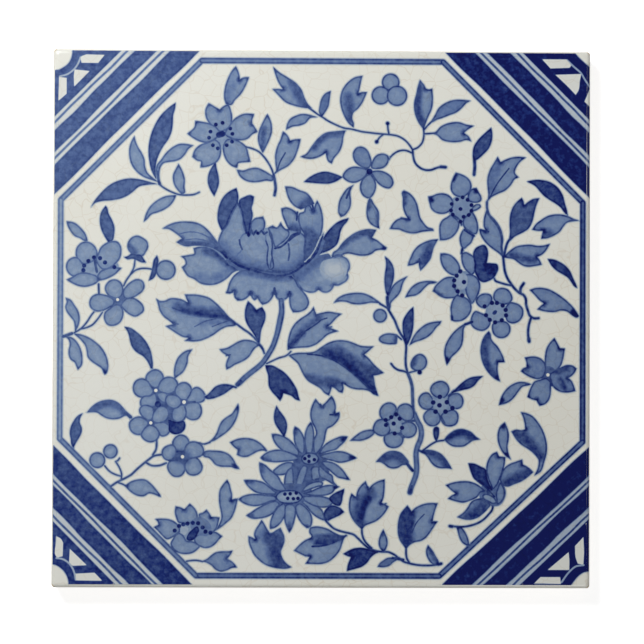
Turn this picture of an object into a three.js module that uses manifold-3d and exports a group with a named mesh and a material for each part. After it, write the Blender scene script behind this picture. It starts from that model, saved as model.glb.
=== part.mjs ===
// A glazed earthenware wall tile with a blue underglaze border print, lying face up.
// Millimetres, +Z up. The origin is at the middle of the back face; the print's top is towards +Y.
import * as THREE from "three";
import { mergeVertices } from "three/addons/utils/BufferGeometryUtils.js";
import Module from "manifold-3d";

// The tile: a six-inch square, three eighths of an inch thick.
const SIDE = 152.4;
const THICKNESS = 9.5;
const CORNER_RADIUS = 0.9;

// The glaze over the face. It thins out to nothing at the top of the upright land.
const GLAZE_THICKNESS = 0.35;
const GLAZE_EASE = 1.4;
const GLAZE_EASE_DROP = 0.05;

// The pressed biscuit body: a rounded arris, an upright land, a drafted side and a softened back edge.
const BODY_TOP = THICKNESS - GLAZE_THICKNESS;
const ARRIS_WIDTH = 0.7;
const ARRIS_HEIGHT = 0.85;
const LAND_TOP = BODY_TOP - ARRIS_HEIGHT;
const LAND_HEIGHT = 2.9;
const DRAFT_INSET = 0.6;
const BACK_EDGE = 0.4;

// The key on the back: square pockets between crossing ribs.
const POCKET_COUNT = 8;
const BACK_MARGIN = 8.2;
const RIB_WIDTH = 3.4;
const POCKET_DEPTH = 1.4;
const POCKET_DRAFT = 0.5;
const POCKET_RADIUS = 1.8;

// The printed ink between body and glaze, clear of the body's arris.
const INK_THICKNESS = 0.08;
const INK_INSET = ARRIS_WIDTH + 0.1;

// The corner ornament: how far along the tile's edge it reaches, and its widths.
const FRET_LEG = 19.4;
const FRET_DIAGONAL = 3.1;
const FRET_STRIP = 1.8;
const FRET_BAR_START = 4;
const FRET_BAR_WIDTH = 2.1;
const FRET_BAR_NIB = 0.5;
const FRET_RING_GAP = 0.5;
const RING_RADIUS = 5.6;
const RING_WIDTH = 2.2;

// The stripes across each corner, from the ornament inwards: the bare gap before each and its own width,
// both measured along the tile's edge.
const HAIRLINE = 1;
const OUTER_BAND = 5.9;
const INNER_BAND = 8;
const OUTER_HAIRLINE_GAP = 1.3;
const OUTER_BAND_GAP = 1.8;
const INNER_HAIRLINE_GAP = 1.35;
const INNER_BAND_GAP = 1.55;
const STRIPES = [
  { name: "outer_hairline", gap: OUTER_HAIRLINE_GAP, width: HAIRLINE },
  { name: "outer_band", gap: OUTER_BAND_GAP, width: OUTER_BAND },
  { name: "inner_hairline", gap: INNER_HAIRLINE_GAP, width: HAIRLINE },
  { name: "inner_band", gap: INNER_BAND_GAP, width: INNER_BAND },
];

// The four corners in turn, anticlockwise, with how far inwards the transfer slipped there when it was laid on.
const CORNERS = [
  { name: "sw", slip: -0.35 },
  { name: "se", slip: 0.35 },
  { name: "ne", slip: 0.35 },
  { name: "nw", slip: -0.25 },
];

// The line around the flower panel: how far inside the tile's sides it runs, and how far from the last stripe.
const PANEL_INSET = { top: 2.3, bottom: 2.6, left: 1.4, right: 1.3 };
const PANEL_GAP = 2.3;
const PANEL_LINE = 1.7;

const wasm = await Module();
wasm.setup();
const { Manifold, Mesh: SolidMesh } = wasm;

const biscuit = new THREE.MeshStandardMaterial({ color: 0xd8cbb2, roughness: 0.9, metalness: 0 });
const glaze = new THREE.MeshStandardMaterial({
  color: 0xf1efe6,
  roughness: 0.1,
  metalness: 0,
  transparent: true,
  opacity: 0.35,
});
const ink = new THREE.MeshStandardMaterial({ color: 0x27356f, roughness: 0.3, metalness: 0 });
const paleInk = new THREE.MeshStandardMaterial({ color: 0x5f739f, roughness: 0.3, metalness: 0 });

// One level of a lofted block: a square with rounded corners, `inset` in from the tile's side.
function ring(inset, z, side = SIDE, radius = CORNER_RADIUS, steps = 6) {
  const r = Math.max(radius - inset, 0.25);
  const reach = side / 2 - inset - r;
  const points = [];
  [[1, 1], [-1, 1], [-1, -1], [1, -1]].forEach(([sx, sy], quarter) => {
    for (let i = 0; i <= steps; i++) {
      const a = (quarter + i / steps) * (Math.PI / 2);
      points.push(new THREE.Vector3(sx * reach + r * Math.cos(a), sy * reach + r * Math.sin(a), z));
    }
  });
  return points;
}

// A closed geometry through rings listed from the lowest outside ring onwards; its two ends are capped flat.
function loft(rings) {
  const count = rings[0].length;
  const positions = rings.flat();
  const index = [];
  for (let level = 0; level + 1 < rings.length; level++) {
    for (let i = 0; i < count; i++) {
      const a = level * count + i;
      const b = level * count + ((i + 1) % count);
      index.push(a, b, b + count, a, b + count, a + count);
    }
  }
  const last = (rings.length - 1) * count;
  for (let i = 1; i + 1 < count; i++) {
    index.push(0, i + 1, i);
    index.push(last, last + i, last + i + 1);
  }
  return new THREE.BufferGeometry().setFromPoints(positions).setIndex(index);
}

function toSolid(geometry) {
  return new Manifold(new SolidMesh({
    numProp: 3,
    vertProperties: new Float32Array(geometry.attributes.position.array),
    triVerts: new Uint32Array(geometry.index.array),
  }));
}

function toGeometry(solid) {
  const mesh = solid.getMesh();
  const geometry = new THREE.BufferGeometry();
  geometry.setAttribute("position", new THREE.BufferAttribute(new Float32Array(mesh.vertProperties), 3));
  geometry.setIndex(new THREE.BufferAttribute(new Uint32Array(mesh.triVerts), 1));
  geometry.computeVertexNormals();
  return geometry;
}

// The rings over the rounded arris, from the top of the land inwards, rising by `height` in all.
function arris(height) {
  const steps = 5;
  return Array.from({ length: steps + 1 }, (_, i) => {
    const a = (i / steps) * (Math.PI / 2);
    return ring(ARRIS_WIDTH * (1 - Math.cos(a)), LAND_TOP + height * Math.sin(a));
  });
}

function bodyGeometry() {
  const block = toSolid(loft([
    ring(DRAFT_INSET + BACK_EDGE, 0),
    ring(DRAFT_INSET, BACK_EDGE),
    ring(0, LAND_TOP - LAND_HEIGHT),
    ...arris(ARRIS_HEIGHT),
  ]));
  const pitch = (SIDE - 2 * BACK_MARGIN) / POCKET_COUNT;
  const mouth = pitch - RIB_WIDTH;
  const pocket = toSolid(loft([
    ring(-POCKET_DRAFT, -POCKET_DEPTH, mouth, POCKET_RADIUS, 3),
    ring(POCKET_DRAFT, POCKET_DEPTH, mouth, POCKET_RADIUS, 3),
  ]));
  const pockets = [];
  for (let row = 0; row < POCKET_COUNT; row++) {
    for (let column = 0; column < POCKET_COUNT; column++) {
      const x = (column - (POCKET_COUNT - 1) / 2) * pitch;
      const y = (row - (POCKET_COUNT - 1) / 2) * pitch;
      pockets.push(pocket.translate([x, y, 0]));
    }
  }
  return toGeometry(block.subtract(Manifold.union(pockets)));
}

function outline(pairs) {
  return pairs.map(([x, y]) => new THREE.Vector2(x, y));
}

// A straight stripe across a corner, cut off at the ink's inset from the tile's two edges.
function stripeShape(near, far) {
  const a = near - INK_INSET;
  const b = far - INK_INSET;
  return new THREE.Shape(outline([[a, INK_INSET], [b, INK_INSET], [INK_INSET, b], [INK_INSET, a]]));
}

// Points of a quarter circle about the tile's corner, ending the same distance short of both edges.
function cornerArc(radius, edge, steps = 10) {
  const start = Math.asin(edge / radius);
  return Array.from({ length: steps + 1 }, (_, i) => {
    const a = start + (i / steps) * (Math.PI / 2 - 2 * start);
    return [radius * Math.cos(a), radius * Math.sin(a)];
  });
}

// The corner ornament: a quarter ring and two edge strips joined by a diagonal, with two bars reaching to the ring.
function fretShape(slip) {
  const leg = FRET_LEG + slip;
  const inner = leg - FRET_DIAGONAL;
  const shape = new THREE.Shape(outline([
    [leg - INK_INSET, INK_INSET],
    [INK_INSET, leg - INK_INSET],
    ...cornerArc(RING_RADIUS, INK_INSET).reverse(),
  ]));
  const ringOutside = RING_RADIUS + RING_WIDTH;
  const near = FRET_BAR_START;
  const far = near + FRET_BAR_WIDTH;
  const tip = Math.sqrt((ringOutside + FRET_RING_GAP) ** 2 - (near + FRET_BAR_NIB) ** 2);
  const upperBar = [
    [far, inner - far],
    [far, tip + FRET_BAR_NIB],
    [far - FRET_BAR_NIB, tip],
    [near + FRET_BAR_NIB, tip],
    [near, tip + FRET_BAR_NIB],
    [near, inner - near],
    [FRET_STRIP, inner - FRET_STRIP],
  ];
  const lowerBar = upperBar.map(([x, y]) => [y, x]).reverse();
  const opening = [...lowerBar, ...upperBar, ...cornerArc(ringOutside, FRET_STRIP).reverse()];
  shape.holes.push(new THREE.Path(outline(opening)));
  return shape;
}

// An eight-sided outline `inset` inside the panel line's outer edge; `legs` are its cuts along the tile's edges.
function octagon(inset, legs) {
  const [t, b, l, r] = ["top", "bottom", "left", "right"].map((side) => SIDE / 2 - PANEL_INSET[side] - inset);
  const reach = ({ name }) => SIDE - legs[name] - inset * Math.SQRT2;
  const [sw, se, ne, nw] = CORNERS.map(reach);
  return outline([
    [ne - t, t], [-(nw - t), t], [-l, nw - l], [-l, -(sw - l)],
    [-(sw - b), -b], [se - b, -b], [r, -(se - r)], [r, ne - r],
  ]);
}

function panelLineShape(legs) {
  const shape = new THREE.Shape(octagon(0, legs));
  shape.holes.push(new THREE.Path(octagon(PANEL_LINE, legs)));
  return shape;
}

// A printed shape as a thin slab standing on z = 0.
function inkGeometry(shape) {
  const slab = new THREE.ExtrudeGeometry(shape, { depth: INK_THICKNESS, bevelEnabled: false });
  slab.deleteAttribute("normal");
  slab.deleteAttribute("uv");
  return mergeVertices(slab, 1e-4);
}

// The glaze: from the body's own arris and flat top out to the glossy face, with a pocket over every printed mesh.
function glazeGeometry(prints) {
  const rise = ARRIS_HEIGHT + GLAZE_THICKNESS - GLAZE_EASE_DROP;
  const face = ring(ARRIS_WIDTH + GLAZE_EASE, THICKNESS);
  const coat = toSolid(loft([...arris(ARRIS_HEIGHT).reverse(), ...arris(rise).slice(1), face]));
  const pockets = prints.map((mesh) => {
    const slab = toSolid(mesh.geometry.clone().applyMatrix4(mesh.matrixWorld));
    return slab.add(slab.translate([0, 0, -INK_THICKNESS / 2]));
  });
  return toGeometry(coat.subtract(Manifold.union(pockets)));
}

function named(name, geometry, material) {
  const mesh = new THREE.Mesh(geometry, material);
  mesh.name = name;
  return mesh;
}

const tile = new THREE.Group();
tile.name = "ceramic_tile";
tile.add(named("biscuit_body", bodyGeometry(), biscuit));

const border = new THREE.Group();
border.position.z = BODY_TOP;
const legs = {};
CORNERS.forEach(({ name, slip }, turn) => {
  // Each corner is drawn from its own tip, with x and y running inwards along the tile's two edges.
  const corner = new THREE.Group();
  corner.rotation.z = turn * (Math.PI / 2);
  corner.position.set(-SIDE / 2, -SIDE / 2, 0).applyEuler(corner.rotation);
  corner.add(named(`corner_fret_${name}`, inkGeometry(fretShape(slip)), ink));
  let leg = FRET_LEG + slip;
  for (const stripe of STRIPES) {
    const near = leg + stripe.gap;
    leg = near + stripe.width;
    corner.add(named(`${stripe.name}_${name}`, inkGeometry(stripeShape(near, leg)), ink));
  }
  legs[name] = leg + PANEL_GAP;
  border.add(corner);
});
border.add(named("octagon_line", inkGeometry(panelLineShape(legs)), paleInk));
tile.add(border);

tile.updateMatrixWorld(true);
const prints = [];
border.traverse((node) => node.isMesh && prints.push(node));
tile.add(named("glaze_coat", glazeGeometry(prints), glaze));

export default tile;
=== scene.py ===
import math
import bpy
import numpy as np
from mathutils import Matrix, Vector, geometry


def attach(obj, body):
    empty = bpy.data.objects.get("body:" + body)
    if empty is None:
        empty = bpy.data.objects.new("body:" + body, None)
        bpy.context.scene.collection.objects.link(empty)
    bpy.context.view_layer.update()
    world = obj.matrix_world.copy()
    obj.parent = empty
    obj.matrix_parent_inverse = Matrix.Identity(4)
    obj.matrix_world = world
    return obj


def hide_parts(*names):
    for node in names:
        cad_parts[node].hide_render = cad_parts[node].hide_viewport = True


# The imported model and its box
# The CAD model is loaded as the fixed frame: the pressed body, its glaze and the border's print.
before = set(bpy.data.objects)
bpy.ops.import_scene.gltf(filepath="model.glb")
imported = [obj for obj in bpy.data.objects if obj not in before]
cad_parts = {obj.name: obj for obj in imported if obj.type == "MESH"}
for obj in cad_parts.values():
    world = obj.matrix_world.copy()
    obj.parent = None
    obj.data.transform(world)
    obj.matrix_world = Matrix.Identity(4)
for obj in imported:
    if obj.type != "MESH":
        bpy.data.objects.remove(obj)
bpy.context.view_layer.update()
MM = 0.001

# Camera
# The tile lies face up and the camera looks down on it from a little above a metre, nearly square on, through
# a long lens, as for a catalogue of tiles. Its place and turn were matched to the photo's edges.
CAMERA_PLACE = (-0.0411, -0.0325, 1.2084)
CAMERA_TURN = (1.5, -1.97, 0.178)
CAMERA_LENS = 236.8
camera_data = bpy.data.cameras.new("camera")
camera_data.lens = CAMERA_LENS
camera_data.sensor_width = 36
camera_data.clip_start = 0.05
camera_data.clip_end = 20
camera = bpy.data.objects.new("camera", camera_data)
camera.location = CAMERA_PLACE
camera.rotation_euler = [math.radians(turn) for turn in CAMERA_TURN]
bpy.context.scene.collection.objects.link(camera)
bpy.context.scene.camera = camera

# Pressed biscuit body
# The body is buff earthenware clay dust, pressed between steel dies and fired once, unglazed on its sides and
# back. The CAD solid has its keyed back, upright land and arris, so it stays and only gets its finish.
BISCUIT_PALE = "#E2D8C3"
BISCUIT_WARM = "#CDBB9B"
BISCUIT_SPECK = "#9C8263"
# In mm: the patches that the fire left, the grains of grog and the height of the sandy surface.
FIRE_PATCH = 25
GROG_GRAIN = 0.4545
SAND_RELIEF = 0.1
SPECK_START, SPECK_FULL = 0.62, 0.72


def linear(hex_colour):
    """An sRGB hex value as the linear colour that the shaders use."""
    shares = [int(hex_colour[i : i + 2], 16) / 255 for i in (1, 3, 5)]
    return [s / 12.92 if s <= 0.04045 else ((s + 0.055) / 1.055) ** 2.4 for s in shares] + [1.0]


def node(material, kind, settings=None, links=None):
    """Adds a node, gives its settings and input values, and links its inputs to other nodes' outputs."""
    tree = material.node_tree
    made = tree.nodes.new(kind)
    for name, value in (settings or {}).items():
        if isinstance(name, str) and hasattr(made, name):
            setattr(made, name, value)
        else:
            made.inputs[name].default_value = value
    for name, source in (links or {}).items():
        tree.links.new(source, made.inputs[name])
    return made


def new_material(name):
    """An empty material and its main shader."""
    material = bpy.data.materials.new(name)
    material.use_nodes = True
    return material, material.node_tree.nodes["Principled BSDF"]


def per_metre(size):
    """A noise scale for a pattern whose features are so many mm apart."""
    return 1 / (size * MM)


# Unglazed earthenware biscuit: dust-pressed and once fired, so it is matt, faintly sandy and unevenly buff.
biscuit, biscuit_shader = new_material("unglazed_earthenware_biscuit")
place = node(biscuit, "ShaderNodeTexCoord").outputs["Object"]
fire = node(
    biscuit, "ShaderNodeTexNoise", {"Scale": per_metre(FIRE_PATCH), "Detail": 3.0}, {"Vector": place}
)
grog = node(
    biscuit, "ShaderNodeTexNoise", {"Scale": per_metre(GROG_GRAIN), "Detail": 2.0}, {"Vector": place}
)
buff = node(
    biscuit, "ShaderNodeMix", {"data_type": "RGBA", 6: linear(BISCUIT_PALE), 7: linear(BISCUIT_WARM)},
    {0: fire.outputs["Fac"]},
)
specks = node(biscuit, "ShaderNodeValToRGB", {}, {"Fac": grog.outputs["Fac"]})
specks.color_ramp.elements[0].position = SPECK_START
specks.color_ramp.elements[1].position = SPECK_FULL
speckled = node(
    biscuit, "ShaderNodeMix", {"data_type": "RGBA", 7: linear(BISCUIT_SPECK)},
    {0: specks.outputs["Color"], 6: buff.outputs[2]},
)
sand = node(
    biscuit, "ShaderNodeBump", {"Strength": 0.35, "Distance": SAND_RELIEF * MM},
    {"Height": grog.outputs["Fac"]},
)
biscuit_shader.inputs["Roughness"].default_value = 0.85
biscuit_shader.inputs["IOR"].default_value = 1.5
biscuit.node_tree.links.new(speckled.outputs[2], biscuit_shader.inputs["Base Color"])
biscuit.node_tree.links.new(sand.outputs["Normal"], biscuit_shader.inputs["Normal"])
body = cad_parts["biscuit_body"]
for old_slot in body.material_slots:
    old_slot.material = biscuit

# Clear glaze over the face
# A lead glaze was flooded over the printed face and fired again: it lies flat over the panel, thins and rolls
# over the arris and stops at the upright land. It is one closed skin of glass on the body's top.
SIDE = 152.4
GLAZE_TOP = 9.43
GLAZE_UNDERSIDE = 9.2
GLAZE_FOOT = 8.3
CORNER_ROUND = 0.9
# How far in from the side, and how high, the glaze's face is from the flat panel down to its foot.
GLAZE_ROLL = ((0.95, 9.4), (0.6, 9.3), (0.32, 9.09), (0.12, 8.78), (0.0, 8.45), (0.0, GLAZE_FOOT))
GLAZE_FLAT_INSET = 1.4
GLAZE_UNDERSIDE_INSET = 0.74
GLAZE_FACE = ((GLAZE_FLAT_INSET, GLAZE_TOP),) + GLAZE_ROLL[:-1]
CREAM = "#EBECE6"
CREAM_WARM = "#E3E1D5"
CRAZE_TINT = "#CDBEA6"
# In mm: the crazing's cells and cracks, drawn coarser than the finest ones so that they show, how far the
# cracks bend and over what length, the patches that hold more stain, and the glaze's clouds and ripples.
CRAZE_SPACING = 3.8
CRAZE_WIDTH = 0.12
CRAZE_BEND = 4
CRAZE_BEND_LENGTH = 6.25
STAIN_PATCH = 22.2
CREAM_CLOUD = 45.5
GLAZE_RIPPLE = 16.7
RIPPLE_HEIGHT = 0.6
CRAZE_STRENGTH = 0.6

bpy.ops.object.select_all(action="DESELECT")
flat_side = SIDE - 2 * GLAZE_FLAT_INSET
bpy.ops.mesh.primitive_plane_add(size=flat_side * MM, location=(0, 0, GLAZE_TOP * MM))
glaze = bpy.context.object
glaze.name = "glazed_face"
bpy.ops.object.transform_apply(location=True, rotation=True, scale=True)
bpy.ops.object.mode_set(mode="EDIT")
bpy.ops.mesh.bevel(offset=CORNER_ROUND * MM, segments=5, affect="VERTICES")
bpy.ops.mesh.select_all(action="SELECT")
bpy.ops.mesh.region_to_loop()
ring_inset, ring_height = GLAZE_FLAT_INSET, GLAZE_TOP
for inset, height in GLAZE_ROLL + ((GLAZE_UNDERSIDE_INSET, GLAZE_UNDERSIDE),):
    growth = (SIDE - 2 * inset) / (SIDE - 2 * ring_inset)
    bpy.ops.mesh.extrude_edges_move(TRANSFORM_OT_translate={"value": (0, 0, (height - ring_height) * MM)})
    bpy.ops.transform.resize(value=(growth, growth, 1))
    ring_inset, ring_height = inset, height
bpy.ops.mesh.edge_face_add()
bpy.ops.mesh.select_all(action="SELECT")
bpy.ops.mesh.normals_make_consistent(inside=False)
bpy.ops.object.mode_set(mode="OBJECT")
bpy.ops.object.shade_smooth_by_angle(angle=math.radians(40))


def fired_face(name):
    """A glazed cream face: the material, its shader and the output that holds the cream under the print."""
    material, shader = new_material(name)
    place = node(material, "ShaderNodeTexCoord").outputs["Object"]
    cloud = node(
        material, "ShaderNodeTexNoise", {"Scale": per_metre(CREAM_CLOUD), "Detail": 3.0}, {"Vector": place}
    )
    cream = node(
        material, "ShaderNodeMix", {"data_type": "RGBA", 6: linear(CREAM), 7: linear(CREAM_WARM)},
        {0: cloud.outputs["Fac"]},
    )
    bend = node(
        material, "ShaderNodeTexNoise", {"Scale": per_metre(CRAZE_BEND_LENGTH), "Detail": 2.0},
        {"Vector": place},
    )
    bent = node(
        material, "ShaderNodeMix", {"data_type": "VECTOR", 0: CRAZE_BEND * MM},
        {4: place, 5: bend.outputs["Color"]},
    )
    cells = node(
        material, "ShaderNodeTexVoronoi", {"feature": "DISTANCE_TO_EDGE", "Scale": per_metre(CRAZE_SPACING)},
        {"Vector": bent.outputs[1]},
    )
    crack = node(
        material, "ShaderNodeMapRange",
        {"From Max": CRAZE_WIDTH / CRAZE_SPACING, "To Min": CRAZE_STRENGTH, "To Max": 0.0},
        {"Value": cells.outputs["Distance"]},
    )
    patch = node(
        material, "ShaderNodeTexNoise", {"Scale": per_metre(STAIN_PATCH), "Detail": 2.0}, {"Vector": place}
    )
    stained = node(
        material, "ShaderNodeMath", {"operation": "MULTIPLY"},
        {0: crack.outputs["Result"], 1: patch.outputs["Fac"]},
    )
    crazed = node(
        material, "ShaderNodeMix", {"data_type": "RGBA", 7: linear(CRAZE_TINT)},
        {0: stained.outputs[0], 6: cream.outputs[2]},
    )
    pools = node(
        material, "ShaderNodeTexNoise", {"Scale": per_metre(GLAZE_RIPPLE), "Detail": 1.0}, {"Vector": place}
    )
    waviness = node(
        material, "ShaderNodeBump", {"Strength": 0.12, "Distance": RIPPLE_HEIGHT * MM},
        {"Height": pools.outputs["Fac"]},
    )
    shader.inputs["Roughness"].default_value = 0.18
    shader.inputs["IOR"].default_value = 1.5
    material.node_tree.links.new(waviness.outputs["Normal"], shader.inputs["Normal"])
    return material, shader, crazed.outputs[2]


# Glossy lead glaze over a pale body: cream with a faint warmth, and fine crazing.
glazed_cream, cream_shader, cream_colour = fired_face("clear_glaze_over_cream_body")
glazed_cream.node_tree.links.new(cream_colour, cream_shader.inputs["Base Color"])
glaze.data.materials.append(glazed_cream)
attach(glaze, "root")
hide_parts("glaze_coat")

# Cobalt print under the glaze: corner bands and hairlines
# The pattern was engraved on a copper plate, pulled on tissue in cobalt ink, rubbed down on the biscuit and
# fired in, so it lies flush under the glaze. Its outlines are flat sheets here that carry the ink's strength.
PALE, MID, DARK, DEEP = 0.42, 0.58, 0.76, 0.95
# A mark with a rim weaker than this is bare clay that shows through the ink.
BARE = 0.1
# A leaf's or petal's rim is this much stronger than its wash, and its sharp tips as much again.
RIM_RISE = 0.14
TIP_REACH = 0.8
PEN_TONE = 0.84
# Where the ink's strength changes, in mm from a mark's edge; inside the mark it is negative.
CORE, RIM_START, RIM_FULL, INK_EDGE = -1.4, -0.55, -0.28, -0.08
BLEED, FAINT_BLEED, HALO = 0.12, 0.26, 0.5
# The share of the rim's rise at its start, the share of its ink that bled, and the faintest bled ink.
RIM_START_SHARE, BLEED_SHARE, FAINT_INK = 0.2, 0.32, 0.1
# A dab is full to this many half widths from its middle, and has faded out one further.
DAB_FULL = 0.5
# The mesh, in mm: steps along an edge, the grid inside the washes and how far it keeps from an edge, the
# least width of a stroke that has a rim, and the least radius of a loop round one.
PEN_STEP = 0.42
GRID_X, GRID_Y = 0.9, 0.8
GRID_INSET = 0.7
BROAD_STROKE = 1.4
LEAST_REACH = 0.1
# The least number of corners of a dot and of a stroke's round end, and their lengths for each mm of radius.
DOT_CORNERS, END_CORNERS = 7, 4
DOT_ROUND, END_ROUND = 6.3, 3
# In mm: how near counts as on an edge, how near as one place, how far creases run on past a sheet's marks,
# and further off than any mark's ink reaches.
EDGE_SLACK = 0.05
WELD = 0.0001
OVERRUN = 1
FAR = 9.0
# How far the sheets lie over the glaze, in mm: all of them, each over the last, and more where it rolls down.
PRINT_LIFT = 0.01
SHEET_LIFT = 0.0012
ROLL_LIFT, ROLL_INSET = 0.02, 1
# The tissue was trimmed a little short of each side of the tile, and least short on the right.
TRIM_LOW = np.array([-75.85, -75.3])
TRIM_HIGH = np.array([76.08, 75.75])
# All marks so far, because a later mark's ink falls on those before it, and the sheets that hold them.
printed = []
sheets = []


def points_of(text):
    """Outline points written as x,y in mm; a ! after a point makes it a sharp corner."""
    found = []
    for word in text.split():
        x, y = word.rstrip("!").split(",")
        found.append((float(x), float(y), word.endswith("!")))
    return found


def drawn(points, closed):
    """A pen line through the points, smooth except at its sharp corners, as a row of close-set places."""
    spots = np.array([p[:2] for p in points])
    sharp = [p[2] for p in points]
    count = len(spots)
    row = []
    for i in range(count if closed else count - 1):
        a, b = spots[i], spots[(i + 1) % count]
        reach = np.linalg.norm(b - a)
        leave = arrive = (b - a) / reach
        if not sharp[i] and (closed or i > 0):
            before = a - spots[i - 1]
            span = np.linalg.norm(before)
            leave = (before / span * reach + leave * span) / (span + reach)
        if not sharp[(i + 1) % count] and (closed or i < count - 2):
            after = spots[(i + 2) % count] - b
            span = np.linalg.norm(after)
            arrive = (after / span * reach + arrive * span) / (span + reach)
        steps = max(1, round(reach / PEN_STEP))
        for t in np.arange(steps) / steps:
            row.append(
                (2 * t**3 - 3 * t**2 + 1) * a + (t**3 - 2 * t**2 + t) * reach * leave
                + (3 * t**2 - 2 * t**3) * b + (t**3 - t**2) * reach * arrive
            )
    if not closed:
        row.append(spots[-1])
    return np.array(row)


def new_mark(row, tone, rim, half=0, dabs=(), stain=False):
    """One mark of ink: its outline or line, its strengths, half a line's width, and whether it only tints."""
    return {"row": row, "tone": tone, "rim": rim, "half": half, "dabs": dabs, "stain": stain}


def wash(tone, text, *dabs, rim=None):
    """A leaf or petal: an outline filled with one strength of ink, darker at its rim, sharp tips and dabs."""
    points = points_of(text)
    rim = max(DARK, tone + RIM_RISE) if rim is None else rim
    tips = tuple((rim + RIM_RISE, TIP_REACH, np.array([point[:2]])) for point in points if point[2])
    return new_mark(drawn(points, True), tone, min(rim, 1), dabs=dabs + tips)


def pen(width, text, tone=PEN_TONE, rim=None):
    """A drawn stroke of even width; a single point makes a round dot."""
    points = points_of(text)
    row = drawn(points, False) if len(points) > 1 else np.array([points[0][:2]])
    return new_mark(row, tone, tone if rim is None else rim, half=width / 2)


def outwards(row):
    """The direction away from the inside at each place of a closed row."""
    ahead = np.roll(row, -1, axis=0) - np.roll(row, 1, axis=0)
    ahead /= np.maximum(np.linalg.norm(ahead, axis=1), 1e-9)[:, None]
    x, y = row.T
    turn = np.sign((x * np.roll(y, -1) - y * np.roll(x, -1)).sum())
    return turn * np.stack([ahead[:, 1], -ahead[:, 0]], 1)


def away(spots, row, closed):
    """Distance of each spot from a drawn row, and whether it is inside where the row is closed."""
    starts = row if closed else row[:-1]
    ends = np.roll(row, -1, axis=0) if closed else row[1:]
    if len(row) == 1:
        return np.linalg.norm(spots - row[0], axis=1), np.zeros(len(spots), bool)
    along = ends - starts
    rel = spots[:, None, :] - starts[None]
    share = (rel * along).sum(2) / np.maximum((along**2).sum(1), 1e-12)
    gap = np.linalg.norm(rel - np.clip(share, 0, 1)[..., None] * along, axis=2).min(1)
    if not closed:
        return gap, np.zeros(len(spots), bool)
    above = spots[:, None, 1] >= starts[None, :, 1]
    above_next = spots[:, None, 1] >= ends[None, :, 1]
    turn = along[:, 0] * rel[..., 1] - along[:, 1] * rel[..., 0]
    crossing = (above & ~above_next & (turn < 0)) | (~above & above_next & (turn > 0))
    return gap, crossing.sum(1) % 2 == 1


def beyond(mark, spots):
    """How far each spot lies outside a mark's edge; inside it is negative."""
    if mark["half"]:
        return away(spots, mark["row"], False)[0] - mark["half"]
    gap, inside = away(spots, mark["row"], True)
    return np.where(inside, -gap, gap)


def near(mark, spots, margin=HALO):
    """Which spots lie in a mark's box, widened by the margin."""
    low = mark["row"].min(0) - mark["half"] - margin
    high = mark["row"].max(0) + mark["half"] + margin
    return np.flatnonzero(((spots >= low) & (spots <= high)).all(1))


def beyond_all(marks, spots):
    """How far each spot lies outside the nearest mark's edge."""
    gap = np.full(len(spots), FAR)
    for mark in marks:
        chosen = near(mark, spots)
        gap[chosen] = np.minimum(gap[chosen], beyond(mark, spots[chosen]))
    return gap


def ink(spots, marks):
    """The ink's strength at each spot, after all the marks in their printing order."""
    strength = np.zeros(len(spots))
    for mark in marks:
        chosen = near(mark, spots)
        if not len(chosen):
            continue
        edge = beyond(mark, spots[chosen])
        tone, rim = mark["tone"], mark["rim"]
        if mark["stain"]:
            tint = np.interp(edge, (RIM_FULL, BLEED), (tone, 0))
            strength[chosen] = np.maximum(strength[chosen], tint)
            continue
        if rim < BARE:
            cover = np.interp(edge, (INK_EDGE, BLEED), (tone, 1))
            strength[chosen] = np.minimum(strength[chosen], cover)
            continue
        inner_tones = (tone, tone + RIM_START_SHARE * (rim - tone), rim, rim)
        inner = np.interp(edge, (CORE, RIM_START, RIM_FULL, INK_EDGE), inner_tones)
        for dab_tone, dab_half, dab_row in mark["dabs"]:
            fade = np.clip(1 + DAB_FULL - away(spots[chosen], dab_row, False)[0] / dab_half, 0, 1)
            inner += (np.maximum(dab_tone, inner) - inner) * fade
        outer_tones = (rim, BLEED_SHARE * rim, FAINT_INK, 0)
        outer = np.interp(edge, (INK_EDGE, BLEED, FAINT_BLEED, HALO), outer_tones)
        strength[chosen] = np.where(edge <= INK_EDGE, inner, np.maximum(strength[chosen], outer))
    return strength


def dot_rails(mark, offsets):
    """Rings round a dot, at each distance from its edge."""
    found = []
    for offset in offsets:
        reach = mark["half"] + offset
        if reach > LEAST_REACH:
            corners = max(DOT_CORNERS, round(DOT_ROUND * reach / PEN_STEP))
            turns = np.arange(corners) * 2 * math.pi / corners
            ring = mark["row"][0] + reach * np.stack([np.cos(turns), np.sin(turns)], 1)
            found.append((offset, ring, True))
    return found


def stroke_rails(mark, offsets):
    """A stroke's middle line, and loops round it with rounded ends at each distance from its edge."""
    row, half = mark["row"], mark["half"]
    ahead = np.gradient(row, axis=0)
    ahead /= np.linalg.norm(ahead, axis=1)[:, None]
    across = np.stack([-ahead[:, 1], ahead[:, 0]], 1)
    found = [(-half, row, False)]
    for offset in offsets:
        reach = half + offset
        if reach < LEAST_REACH:
            continue
        corners = max(END_CORNERS, round(END_ROUND * reach / PEN_STEP))
        turns = np.linspace(math.pi / 2, -math.pi / 2, corners)[1:-1]
        cap = np.cos(turns)[:, None] * ahead[-1] + np.sin(turns)[:, None] * across[-1]
        foot = -np.cos(turns)[:, None] * ahead[0] - np.sin(turns)[:, None] * across[0]
        there, back = row + reach * across, (row - reach * across)[::-1]
        loop = np.vstack([there, row[-1] + reach * cap, back, row[0] + reach * foot])
        found.append((offset, loop, True))
    return found


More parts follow.
